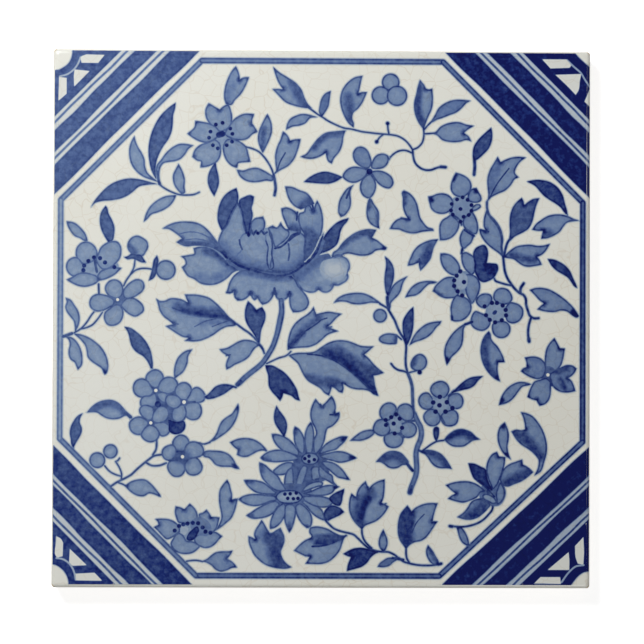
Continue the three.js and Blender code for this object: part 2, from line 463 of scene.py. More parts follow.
def rails(mark):
    """Rows of places along a mark's edge, at the distances where its ink changes strength."""
    row, half = mark["row"], mark["half"]
    offsets = (INK_EDGE, BLEED, FAINT_BLEED, HALO)
    if not half or half > BROAD_STROKE / 2:
        offsets = (RIM_START, RIM_FULL) + offsets
    if half:
        return dot_rails(mark, offsets) if len(row) == 1 else stroke_rails(mark, offsets)
    return [(offset, row + offset * outwards(row), True) for offset in offsets]


def edge_lines(marks):
    """The places along the marks' edges that no later mark covers, and the lines that join them."""
    spots, lines = [], []
    for order, mark in enumerate(marks):
        for offset, row, closed in rails(mark):
            keep = np.abs(beyond(mark, row) - offset) < EDGE_SLACK
            for later in marks[order + 1 :]:
                if later["rim"] < BARE or later["stain"]:
                    continue
                chosen = near(later, row, 0)
                keep[chosen] &= beyond(later, row[chosen]) > -EDGE_SLACK
            index = np.full(len(row), -1)
            index[keep] = len(spots) + np.arange(keep.sum())
            spots.extend(row[keep])
            if offset in (INK_EDGE, BLEED):
                following = np.roll(index, -1)
                if not closed:
                    following[-1] = -1
                joined = (index >= 0) & (following >= 0)
                lines.extend(zip(index[joined].tolist(), following[joined].tolist()))
    return np.array(spots), lines


def grid_places(marks, low, high):
    """A staggered grid of places well inside the marks."""
    grid_x, grid_y = np.meshgrid(np.arange(low[0], high[0], GRID_X), np.arange(low[1], high[1], GRID_Y))
    grid_x[::2] += GRID_X / 2
    grid = np.stack([grid_x.ravel(), grid_y.ravel()], 1)
    return grid[beyond_all(marks, grid) < -GRID_INSET]


def creases(low, high):
    """The ends of straight lines along which the print is trimmed or the glaze under it turns down."""
    ends = []
    for axis in (0, 1):
        levels = [sign * (SIDE / 2 - inset) for sign in (-1, 1) for inset, _ in GLAZE_FACE]
        for level in levels + [TRIM_LOW[axis], TRIM_HIGH[axis]]:
            if low[axis] - OVERRUN < level < high[axis] + OVERRUN:
                first, last = low - OVERRUN, high + OVERRUN
                first[axis] = last[axis] = level
                ends += [first, last]
    return np.array(ends).reshape(-1, 2)


def cut_out(marks):
    """The marks as flat triangles that follow their edges, trimmed with the tissue, all facing up."""
    spots, lines = edge_lines(marks)
    low, high = np.maximum(spots.min(0), TRIM_LOW), np.minimum(spots.max(0), TRIM_HIGH)
    spots = np.vstack([spots, grid_places(marks, low, high)])
    ends = creases(low, high)
    lines += [(len(spots) + i, len(spots) + i + 1) for i in range(0, len(ends), 2)]
    flat = [Vector(spot) for spot in np.vstack([spots, ends]).tolist()]
    flat, _, faces, _, _, _ = geometry.delaunay_2d_cdt(flat, lines, [], 0, WELD)
    spots = np.array([tuple(spot) for spot in flat])
    faces = np.array(faces)
    centres = spots[faces].mean(1)
    inside = (beyond_all(marks, centres) < HALO) & ((centres > TRIM_LOW) & (centres < TRIM_HIGH)).all(1)
    used, faces = np.unique(faces[inside], return_inverse=True)
    spots, faces = spots[used], faces.reshape(-1, 3)
    corner = spots[faces]
    turn = np.cross(corner[:, 1] - corner[:, 0], corner[:, 2] - corner[:, 0])
    faces[turn < 0] = faces[turn < 0][:, ::-1]
    return spots, faces


def print_sheet(name, marks, slot, *nodes):
    """Prints the marks as one sheet that lies on the glaze and has the ink's strength at each vertex."""
    spots, faces = cut_out(marks)
    printed.extend(marks)
    inset = SIDE / 2 - np.abs(spots).max(1)
    height = np.interp(inset, *zip(*reversed(GLAZE_FACE))) + PRINT_LIFT + SHEET_LIFT * len(sheets)
    height += ROLL_LIFT * (inset < ROLL_INSET)
    mesh = bpy.data.meshes.new(name)
    places = np.column_stack([spots, height]) * MM
    mesh.from_pydata(places.tolist(), [], faces.tolist())
    strengths = ink(spots, printed).astype(np.float32)
    mesh.attributes.new("tone", "FLOAT", "POINT").data.foreach_set("value", strengths)
    mesh.materials.append(underglaze_print)
    sheet = bpy.data.objects.new(name, mesh)
    bpy.context.scene.collection.objects.link(sheet)
    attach(sheet, "root")
    if nodes:
        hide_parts(*nodes)
    sheets.append(sheet)


# Cobalt ink fired under a lead glaze: blue that grows from a thin grey-blue wash to near black with its
# thickness, a little blurred, cloudy where the tissue took unevenly, and as glossy as the bare face.
INK_STEPS = (
    (0.0, "#FFFFFF"), (0.1, "#DEE5F0"), (0.3, "#A9BCDE"), (0.42, "#89A1CE"), (0.58, "#6882BD"),
    (0.76, "#455C9C"), (0.9, "#1C3384"), (1.0, "#0A1768"),
)
# In mm: the specks where the tissue took more or less ink, and the least and greatest share of ink there.
TAKE_GRAIN = 1.25
TAKE_LEAST, TAKE_MOST = 0.7, 1.3
# Painted shade and sheen, per metre: the ink is made stronger towards the right and a little weaker towards
# the top, for the lamps' shade at the lower right and the gloss's sheen at the upper left.
PAINTED_SHADE_RISE = (1.6, -0.3, 0)
underglaze_print, print_shader, print_cream = fired_face("cobalt_print_under_glaze")
place = node(underglaze_print, "ShaderNodeTexCoord").outputs["Object"]
laid = node(underglaze_print, "ShaderNodeAttribute", {"attribute_name": "tone"}).outputs["Fac"]
take = node(
    underglaze_print, "ShaderNodeTexNoise", {"Scale": per_metre(TAKE_GRAIN), "Detail": 6.0}, {"Vector": place}
)
uneven = node(
    underglaze_print, "ShaderNodeMapRange", {"To Min": TAKE_LEAST, "To Max": TAKE_MOST},
    {"Value": take.outputs["Fac"]},
)
# Painted shade and sheen: the tone grows with this rise across the tile.
painted_shade_rise = node(
    underglaze_print, "ShaderNodeVectorMath", {"operation": "DOT_PRODUCT", 1: PAINTED_SHADE_RISE}, {0: place}
)
tone_with_painted_shade = node(
    underglaze_print, "ShaderNodeMath", {"operation": "MULTIPLY_ADD"},
    {0: laid, 1: painted_shade_rise.outputs["Value"], 2: laid},
)
strength = node(
    underglaze_print, "ShaderNodeMath", {"operation": "MULTIPLY"},
    {0: tone_with_painted_shade.outputs[0], 1: uneven.outputs["Result"]},
)
shades = node(underglaze_print, "ShaderNodeValToRGB", {}, {"Fac": strength.outputs[0]})
ramp = shades.color_ramp
for position, colour in INK_STEPS[1:-1]:
    ramp.elements.new(position)
for element, (position, colour) in zip(ramp.elements, INK_STEPS):
    element.position = position
    element.color = linear(colour)
inked = node(
    underglaze_print, "ShaderNodeMix", {"data_type": "RGBA", "blend_type": "MULTIPLY", 0: 1.0},
    {6: print_cream, 7: shades.outputs["Color"]},
)
underglaze_print.node_tree.links.new(inked.outputs[2], print_shader.inputs["Base Color"])

# Each corner's stripes, as distances of their edges from the middle, measured across the corner.
STRIPES = {
    "nw": (110.9, 118.9, 120.9, 122.8, 128.8, 131.1),
    "ne": (110.8, 119.0, 120.7, 122.6, 129.0, 131.1),
    "sw": (112.0, 119.9, 121.8, 123.3, 129.6, 131.7),
    "se": (111.0, 119.0, 120.7, 122.2, 128.3, 130.5),
}
# The tissue was laid a little askew at the lower right.
STRIPE_LEAN = {"nw": 0.0, "ne": 0.0, "sw": 0.0, "se": 0.065}
QUARTERS = {"nw": (-1, 1), "ne": (1, 1), "sw": (-1, -1), "se": (1, -1)}
# The upper left corner's bands are paler than the rest by a painted sheen: the glaze's gloss veil painted
# into their tone.
BAND_TONES_WITH_SHEEN = {"nw": 0.79, "ne": 0.9, "sw": 0.9, "se": 0.93}
BAND_RIM_RISE = 0.07
HAIRLINE_TONES = {"nw": 0.68, "ne": 0.74, "sw": 0.8, "se": 0.74}
# The ink bled a little into the pale gaps between the bands, most at the lower right.
GAP_STAINS = {"nw": 0.07, "ne": 0.16, "sw": 0.13, "se": 0.22}
OUTER_GAP = 2
HAIRLINE = 0.5
# A stripe's edge sways in a slow and a quicker wave, and a shift across the corner is shared between x and y.
BAND_WOBBLE, HAIRLINE_WOBBLE = 0.14, 0.1
SLOW_WAVE, QUICK_WAVE, QUICK_SHARE = 7, 17, 0.6
DIAGONAL = 0.7
STRIPE_OVERRUN = 0.6
STRIPE_END = SIDE / 2 + STRIPE_OVERRUN
STRIPE_STEPS = 9


def across_corner(corner, reach, wobble):
    """Places along a line across a corner, a little unsteady, from the side edge to the top or bottom."""
    sx, sy = QUARTERS[corner]
    length = 2 * STRIPE_END - reach
    found = []
    for step in np.linspace(0, 1, STRIPE_STEPS):
        x = STRIPE_END - length * step
        y = reach + STRIPE_LEAN[corner] * (x - reach / 2) - x
        slow = wobble * math.sin(SLOW_WAVE * step + reach)
        quick = QUICK_SHARE * wobble * math.sin(QUICK_WAVE * step + 2 * reach)
        at_end = step in (0, 1)
        shift = 0 if at_end else (slow + quick) * DIAGONAL
        found.append((sx * (x + shift), sy * (y + shift), at_end))
    return found


def band(corner, start, end, tone, rim, stain=False):
    """A stripe across a corner, between two distances from the tile's middle."""
    there, back = across_corner(corner, start, BAND_WOBBLE), across_corner(corner, end, BAND_WOBBLE)[::-1]
    return new_mark(drawn(there + back, True), tone, rim, stain=stain)


for corner, (a, b, c, d, e, f) in STRIPES.items():
    for name, start, end in (("inner_band", a, b), ("outer_band", d, e)):
        stripe = band(corner, start, end, BAND_TONES_WITH_SHEEN[corner], BAND_TONES_WITH_SHEEN[corner] + BAND_RIM_RISE)
        print_sheet(f"{name}_print_{corner}", [stripe], "dark_ink", f"{name}_{corner}")
    for name, reach, start, end in (("inner_hairline", c, b, d), ("outer_hairline", f, e, f + OUTER_GAP)):
        stain = band(corner, start, end, GAP_STAINS[corner], GAP_STAINS[corner], stain=True)
        row = drawn(across_corner(corner, reach, HAIRLINE_WOBBLE), False)
        line = new_mark(row, HAIRLINE_TONES[corner], HAIRLINE_TONES[corner], half=HAIRLINE / 2)
        print_sheet(f"{name}_print_{corner}", [stain, line], "dark_ink", f"{name}_{corner}")

# Corner frets
# Dark corner ornament of straight bars round a bare corner, printed with the bands. The tissue slipped a bit
# on every corner, so each is drawn where it lies: its ground, the openings left bare in it and a pale seam.
FRETS = {
    "nw": (
        "-76.8,56.1! -76.8,70 -74.6,70.2 -73.2,71 -72,72 -71.2,73.5 -70.9,75 -70.9,76.8! -56.1,76.8!",
        "-67,74.6! -61.8,74.5! -63.6,72.2! -68.3,72.2! -68.6,73.8",
        "-70.3,70.3! -66,69.9! -70.4,65.4! -70.5,68.4!",
        "-74.7,68.2! -72.5,67.9! -72.5,63.4! -74.9,61.3! -74.7,64!",
        "-74.5,68.3 -72.2,69 -70.6,70.2 -69.4,71.8 -68.6,73.8",
    ),
    "ne": (
        "56,76.8! 71,76.8! 72.6,74.8 74.5,73 76.8,71! 76.8,56!",
        "62.4,74! 69.3,74! 70.8,72.3! 70.2,71.6! 64.8,71.4!",
        "66.2,69.6! 73.6,69.9! 73.2,68 72.8,65.2 72,63.9! 69.5,66.5",
        "76.6,67! 76.6,60! 74.5,62! 75.4,64.2!",
        "69.5,73.8 71.5,71.9 73.6,70 74.6,68.3 75.5,67 76.4,65.8",
    ),
    "sw": (
        "-76.8,-56.6! -57,-76.6! -71.3,-76.6! -71.4,-74 -72,-72.5 -73.4,-70.8 -75,-69.8 -76.8,-69.6!",
        "-74.9,-61.7! -73.5,-62.5 -72.9,-63.6! -73,-67.4! -74.6,-67.8! -75.1,-67 -75,-64",
        "-71,-65.3! -66.2,-69.9! -70.2,-70.1! -71.2,-69!",
        "-69.4,-72.3! -64,-72! -61.8,-74.3! -69.2,-74.2!",
        "-74.8,-67.9 -73,-68.2 -71.2,-69.4 -70.2,-70.8 -69.6,-72.4 -69.3,-74",
    ),
    "se": (
        "76.8,-55.8! 76.8,-71.2! 74.5,-71.6 73,-72.6 71.6,-74.2 69.8,-76.6! 55,-76.6!",
        "74.4,-61.6! 74.6,-66! 74.4,-69.5! 72.8,-69.2! 72.2,-67.5 72,-64.2!",
        "70.2,-65.9! 70.4,-68 70.4,-71! 64.2,-71!",
        "62.2,-73! 67.8,-73! 68,-75! 60.2,-75!",
        "74.5,-69.6 72.2,-70 70.6,-71.3 69.2,-73 68.2,-74.5",
    ),
}
# A fret's ground is its bands' tone a little darker, so the upper left fret carries the same painted sheen.
FRET_RISE, FRET_RIM_RISE = 0.05, 0.1
OPENING_TONE = 0.03
SEAM, SEAM_TONE, SEAM_RIM = 0.5, 0.3, 0.09
for corner, (ground, *openings, seam) in FRETS.items():
    fret = [wash(BAND_TONES_WITH_SHEEN[corner] + FRET_RISE, ground, rim=BAND_TONES_WITH_SHEEN[corner] + FRET_RIM_RISE)]
    fret += [wash(OPENING_TONE, opening, rim=OPENING_TONE) for opening in openings]
    fret.append(pen(SEAM, seam, SEAM_TONE, rim=SEAM_RIM))
    print_sheet(f"corner_fret_print_{corner}", fret, "dark_ink", f"corner_fret_{corner}")

# Eight-sided line round the panel
# Printed with the rest, but in a thinner ink: two fine edge lines with a paler blue between them. Its eight
# sides are straight strokes whose ends meet, each with its own strength: palest on the left, darkest on the
# right.
PANEL = {"top": 73.05, "bottom": 72.8, "left": 74.0, "right": 74.1}
PANEL_CORNERS = {"nw": 107.3, "ne": 107.3, "sw": 108.2, "se": 107.5}
PANEL_LINE = 1.5
PANEL_RIM_RISE = 0.3
PANEL_TONES = {
    "nw": 0.45, "top": 0.5, "ne": 0.52, "right": 0.6, "se": 0.52, "bottom": 0.58, "sw": 0.48, "left": 0.36,
}
panel_row = []
for corner, sides in (("nw", "left top"), ("ne", "top right"), ("se", "right bottom"), ("sw", "bottom left")):
    sx, sy = QUARTERS[corner]
    for side_name in sides.split():
        reach = PANEL[side_name]
        lean = STRIPE_LEAN[corner] * (1 if side_name in ("left", "right") else -1)
        other = PANEL_CORNERS[corner] - reach + lean * (reach - PANEL_CORNERS[corner] / 2)
        place = (sx * other, sy * reach) if side_name in ("top", "bottom") else (sx * reach, sy * other)
        panel_row.append((*place, True))
panel_marks = []
for tone, start, end in zip(PANEL_TONES.values(), panel_row, panel_row[1:] + panel_row[:1]):
    panel_marks.append(new_mark(drawn([start, end], False), tone, tone + PANEL_RIM_RISE, half=PANEL_LINE / 2))
print_sheet("octagon_line_print", panel_marks, "pale_ink", "octagon_line")

# Upper left: leaf spray and open flower
# Leaves on a bent stem and a five-petalled flower with toothed petals, drawn in outline, washed with thin ink
# and printed from the same plate as the border.
# The wet tissue took every spray a little further left and lower than it is drawn, so many mm at the tile's
# middle, and so much more for each mm across, up, or both at once.
SLIP_LEFT, LEFT_BY_X, LEFT_BY_Y, LEFT_BY_XY = 0.07, 0.001, -0.0012, -0.00004
SLIP_DOWN, DOWN_BY_X, DOWN_BY_YY = 0.35, -0.0019, -0.000065


def pale(text, *dabs, rim=None):
    """A leaf or petal in the thinnest wash, as most of them are."""
    return wash(PALE, text, *dabs, rim=rim)


def pips(width, text, tone=1.0, rim=None):
    """Round dots, such as stamens or berries, at each point; with no ink they are bare spots in a wash."""
    return [pen(width, word, tone, rim=rim) for word in text.split()]


def dab(tone, width, text):
    """A soft darker touch inside a leaf or petal."""
    return tone, width / 2, drawn(points_of(text), False)


def print_spray(name, marks, swell=0):
    """Prints a spray where the wet tissue took it, its pale petals grown by so many mm so that they touch."""
    for mark in marks:
        if swell and mark["tone"] == PALE and not mark["half"]:
            mark["row"] = mark["row"] + swell * outwards(mark["row"])
        for row in [mark["row"]] + [dab_row for _, _, dab_row in mark["dabs"]]:
            x, y = row.T.copy()
            row[:, 0] -= SLIP_LEFT + LEFT_BY_X * x + LEFT_BY_Y * y + LEFT_BY_XY * x * y
            row[:, 1] -= SLIP_DOWN + DOWN_BY_X * x + DOWN_BY_YY * y**2
    print_sheet(name, marks, "dark_ink")


print_spray("leaf_spray_upper_left", [
    pen(0.38, "-46.3,38.3 -44.8,37.2 -42.5,36 -40.8,35.4 -38,35.2 -36.2,35.4 -34.8,36"),
    wash(DARK, "-41.6,61.2! -43.5,59.8 -45.8,57.5 -47.6,54.5 -48.8,51 -49.2,48 -48.9,44.5 -48.2,41.8 "
         "-47,39.6! -47.2,42.5 -47,44.5 -46.2,46.8 -45,49 -43.6,51 -42.7,53.2 -42.4,55.5 -42.3,57.8 "
         "-41.8,59.5"),
    pale("-53.2,51.8! -53.8,50.8 -54.6,48.5 -54.6,46 -54,43.8 -52.6,41.8 -50.8,40.4 -48.5,39.5 -46.3,38.8! "
         "-47.9,40 -49.5,41.5 -50.2,43.5 -50.3,45 -51,46.8 -52.2,48.8 -52.8,50.2"),
    pale("-36.5,49.2! -38.5,49.6 -40.5,49.6 -42.5,48.6 -44.3,47 -45.6,45.2 -46.9,43.5 -47,41 -46.5,38.5! "
         "-45.4,37.8! -46,39.5 -46.1,41.5 -45.8,43 -45,44.1 -43.5,44.5 -41.5,44.8 -40.3,45.3 -39,46.5 "
         "-37.8,48.3"),
    wash(0.71, "-65.5,31.6! -64.3,33.6 -62.5,35.8 -60.2,37.9 -57.5,39.2 -54.5,39.8 -51.5,39.5 -49,38.9 "
         "-46.8,38.3! -49.3,38.1 -52,37.5 -53.5,36.2 -55,35.1 -57,34.2 -59.5,33.7 -62,33.5 -64.4,32.8"),
    pale("-40.7,44! -41.5,42.5 -42.2,41 -42.2,39.2 -41.6,37.5 -40.6,36.2 -39.8,35.3! -38.9,35.8 -39,37.5 "
         "-38.9,39.5 -39.3,41.2 -39.9,42.6"),
    pale("-50.5,27.6! -50,29.5 -48.8,31.8 -47,33.5 -44.5,34.8 -41.3,35.2! -41.8,34 -42.8,32.5 -44.5,31.2 "
         "-46.5,30.3 -48.3,29.7 -49.6,28.3"),
])

print_spray("open_flower_upper_left", [
    pen(0.4, "-24.5,49.9 -22,48.9 -20,48.4 -18,47.5 -16.5,46 -15.2,44.2 -14.3,42.5 -13.8,41"),
    pen(0.68, "-13.8,41 -13.4,39 -13.2,37 -13.5,35.2"),
    pale("-24.6,71.4! -25.7,70 -26.9,67.5 -27.6,65 -27.7,62.5 -27.3,61! -25.9,60.8 -25,62 -23.3,63.8 "
         "-22,66 -21,68.4! -22.5,68.2 -23.5,67.7! -23.8,69.3", dab(MID, 2.4, "-26,66 -26.6,62")),
    wash(DARK, "-30.2,44.6! -31.2,43.2 -32.2,41 -32.4,39 -31.8,37 -30.6,34.9! -29.9,36.5 -29.3,38.5 "
         "-29.4,40.5 -30,43"),
    pale("-15.6,58! -16.9,55.5 -17.9,53 -18.1,50.8 -17.5,48.7 -16.9,47.3! -16.3,48.5 -15.3,50.6 -14.5,53 "
         "-14.6,55.5", dab(DARK, 1.4, "-16.6,54 -17,49")),
    pale("-11.1,53.1! -11.7,51 -12.6,49 -13.2,46.5 -13.1,44 -13,42 -13.7,41.2! -12,42.4 -9.8,43.6 "
         "-8.2,45.4 -7.1,48 -6.3,51! -8,50.8 -9.2,50.5! -10,52"),
    pen(0.38, "-12.8,42 -12,44.5 -10.5,47.2"), *pips(7.6, "-28.7,51.8", PALE, PALE),
    pale("-24.1,42.3! -22.5,42 -20.5,42.6 -18.5,42.8 -16.5,42 -14.8,41 -13.5,40.3! -14,39.5 -16,39.5 "
         "-17.5,39.2 -19.5,39 -21.5,39.4 -23,40.4"),
    pale("-32.2,61! -33,59.3 -32.9,57.3 -31.8,55.3 -29,53.2 -26.2,54.6 -25.7,56.8 -26,58.8 -26.9,60.6 "
         "-28,60.1 -29.1,59.2! -30.4,59.9"),
    pale("-19.5,58! -20.1,56.2 -20,55.4! -18.5,53.1! -19.8,52.6 -21.2,51.3 -23.5,50.8 -25.5,51.2 "
         "-27.5,52.3 -26.2,55 -24.5,56.9 -22.2,58"),
    pale("-20.5,44.7! -21,46.5 -21.7,48.8 -23.5,50.3 -25.3,51 -27,50.8 -28,49.2 -27.9,47.2 -27,45 "
         "-25.6,43.6 -24.2,43! -23.9,44.3 -22.5,44.6"),
    pale("-36.7,46! -35.9,48 -34.4,49.3 -32.5,50 -30.5,50.8 -29.3,50 -28.8,48 -29,46.3 -29.8,44.8 "
         "-31.2,43.9 -33,43.3 -34.4,43.1! -34.3,44.8 -35.2,45"),
    pale("-35.9,56! -34,55.7 -32,55.3 -30,54.2 -29,52.5 -30.5,51 -32.5,50.1 -34.8,50.5 -36.8,51.6 "
         "-38.1,52.5! -36.8,53.5 -36.1,54.3"),
    pen(1.7, "-29.3,52.2 -28.3,52.5", DEEP),
    *pips(1.1, "-30.2,55.1 -28.3,55.6 -26.1,54 -25.5,52.5 -25.6,50.3 -27.1,49.3 -29.6,48.4 -31,49.3 "
          "-32.1,51.4 -31.7,53.1"),
], swell=0.15)

# Top: sprig with berries and a small blossom
# A thin stem runs across under the top edge with long leaves and three berries, and a blossom hangs below it.
BERRY_RIM = 0.8
print_spray("top_sprig", [
    pen(0.38, "-4.5,60.3 -3,59.3 -1.5,58.2 0,57.3 1.5,56.3 3.5,55.3 6,54.3 8.5,53.9 11,53.3 14,52.9 "
        "17,52.6 19.5,52.4 21.5,52 23,51.2 24.5,49.8 25.6,48.2"),
    pen(0.48, "25.6,48.2 25.8,46.3 26.3,44.6 27.6,43.2 29.2,42.5 30.8,42.5 32.5,43.1 33.8,43.4 35,43.3"),
    pen(0.78, "33.6,43.4 35,43.3"), pen(0.38, "25.6,48.2 27,48.8 28.2,50 28.7,51.5 28.8,53 28.6,54.5"),
    pen(0.38, "25.4,47.3 24,47.9 22.5,48 21,47.5 19.8,46.6 18.8,45.3"),
    pen(0.38, "18.9,52.5 18.6,54 18.5,55.5"), pen(0.38, "17.3,52.5 16.2,51.6 15.5,50.5"),
    *pips(1, "18.5,55.6 15.4,50.4"),
    pale("-14,71.4! -12.4,70 -10,68.5 -7.7,67 -6,65 -5,62.5 -4.1,60.9 -3,59.8! -5,59.9 -8,60.5 -10.5,61.5 "
         "-12.4,63.3 -14.2,65.2! -12.5,65.2 -11.2,65.1! -12.2,66.5 -13.3,69",
         dab(DARK, 2.6, "-8.5,67 -6.5,63 -4.8,60.8")),
    wash(MID, "2.3,64.7! 0.8,64 -0.3,62.5 -0.8,60.5 -1,58.8 -0.3,57.2! 0.5,58.3 1.7,60.5 2,62.5"),
    pale("-10.3,53.7! -10,55.3 -9.3,56.6 -7.5,57.7 -5.5,58.2 -3.5,57.9 -1.5,57.3! -3.5,57 -4.8,55.6 "
         "-6.5,54.9 -8.5,54.6"),
    pale("11.3,69! 9,68.5 7,67 5.6,65 5,62.5 5.3,60 6.2,57.6 7.5,55.5 8.8,54.4! 8.9,55.5 8.4,57 8.7,58.5 "
         "10,59.7 11.2,61.3 12,63 12.6,64.4! 11.2,64.4 10.2,64.1! 10.6,66 10.9,67.5",
         dab(DARK, 2.6, "7.3,63 8,57")),
    pale("27.6,67.9! 27,66 26.6,64 26,61.5 26.1,59 26.8,56.8 28,54.8 28.8,53.9! 29.2,55.4 30,57.5 31,59.8 "
         "31.3,62 31.1,65.5! 30.2,65.2 29.3,65.5! 28.7,66.6", dab(DARK, 2, "27.4,66 27.2,59 28.5,55")),
    wash(0.52, "42,62.1! 40,62.3 37.5,62.3 35,61.5 33,60 31.8,57.8 30.5,55.8! 31.2,56 32.3,56.6 34,57.2 "
         "36,58 38,58.8 39.5,60 40.8,61.4"),
    pen(0.38, "28.8,53.8 29.8,55 31,56.2"),
    pale("43,55! 41,55.3 38.8,56 36,55.8 33.5,54.7 32,53.2 30.5,52.9! 32.5,52.3 34,51 36.5,50.4 39,50.5 "
         "41,51 42.3,50.6! 41.5,52 40.2,53! 41.3,54"),
    pen(0.38, "28.8,52.7 30.5,52.8 32.5,53"), *pips(5, "19.3,67.2", PALE, BERRY_RIM),
    *pips(5.2, "16.5,63.5", PALE, BERRY_RIM), *pips(5.8, "21.1,63.4", PALE, BERRY_RIM),
])

print_spray("top_blossom", [
    wash(DARK, "5.8,40.4! 3.5,41.3 1,41.9 -1.5,41.4 -3.6,40.3 -5.2,39! -3,38.8 -0.5,38.6 2,38.6 4.3,39.4"),
    pale("6.6,53.6! 3.5,53.3 0.8,52.8 -1.5,51 -3.2,48.8 -4.5,47 -6.2,46.1! -4.5,45.6 -2.5,45.6 -0.5,46.3 "
         "1,47.2! 1.2,46 1.8,44.7 2.7,44.2! 3.2,45.5 4.8,47.5 5.7,49.8 6,52",
         dab(DARK, 2, "5,52.9 0.5,51.8 -2.5,48.8")),
    pale("8.9,38.2! 7.2,37.3 6,35.8 5,34 4.6,32 4.6,30.4 5.3,29.1! 6.3,29.5 7.3,30.6 8,32 8.2,33.8 8,35.5 "
         "8.1,36.8"),
    pen(0.58, "8,37.2 6.9,34.5"),
    pale("13.5,34.8! 13,33.5 12.7,31.9 12.6,30.2 12.9,28.6 13.7,27.3 15,26.4 16.3,25.9! 16.1,27.2 16.2,29 "
         "16,30.8 15.3,32 14.6,33 14.1,34", dab(DARK, 1.4, "13.3,34.5 13.2,31.5"),
         dab(DARK, 1.2, "16,30 16,27")),
    wash(0.49, "13.2,42.9 10.5,43.6 9,45.2 8.7,47.2 9.8,48.8 11.3,49 12.8,48 13.6,46.3 14,44.6"),
    pale("13.9,43 14.2,45 15.4,46.6 17.2,47.1 18.7,46.4 18.7,44.6 17.6,43.2 15.8,42.7"),
    pale("13.8,41.8 16,42.3 18.3,41.6 19.8,40.3 20.2,38.6 19.2,37.3 17.3,37.6 15.6,38.9 14.6,40.3"),
    pale("13,42.3 10.8,43.2 8.5,43.3 6.6,42.2 5.8,40.5 7,39.3 9,38.8 11,39.5 12.5,40.8"),
    pale("13.8,41.3 11.6,40.2 10.8,38.5 10.8,36.8 11.4,35.4 12.4,34.6 13.3,34.4 14.1,34.9 14.9,36.2 "
         "15.3,37.6 15.2,39 14.6,40.3"),
    *pips(1.7, "13.4,42", DEEP),
])

# Upper right: blossoms on a curved stem
# Three leaves under the corner, then three blossoms one under another on the right-hand stem, with lobed
# leaves between them. The blossoms overlap, so they are printed one after another.
print_spray("corner_leaves_upper_right", [
    wash(DARK, "47.9,54.5! 46,52.8 44.2,51 43,49 42.7,46.8 42.9,44.9! 44,45.5 45.6,46.9 47.3,48.8 48.1,51 "
         "48.2,53"),
    pen(0.78, "43.2,45.2 43.3,43.5 43.1,41.2"),
    pale("57.8,46.1! 56,46.3 53.5,46 51.7,45.3 50.6,44.8! 49.8,46.3! 48.8,44.6 47.6,42.5 46.9,40 47,37.5 "
         "47.2,35.5 46.9,33.5! 48,34.8 49.8,35.8 52,36.8 53.7,38.5 54.7,40 55.8,40.5! 54.7,41.8 55.2,43.5 "
         "56.3,45", dab(MID, 3, "48,36 48.5,41 50,45")),
    pen(0.38, "47.5,34.5 49.6,38.5 53,43"),
    wash(DARK, "58.2,39.3! 60,39.7 62.5,39.7 65,39 67,37.5 68.3,35.5 69,33 69.6,31 69.8,29.7! 68.8,30.7 "
         "67.8,32 66.4,33.1 64.9,34 63.3,35.1 61.9,36.5 60.6,38"),
])

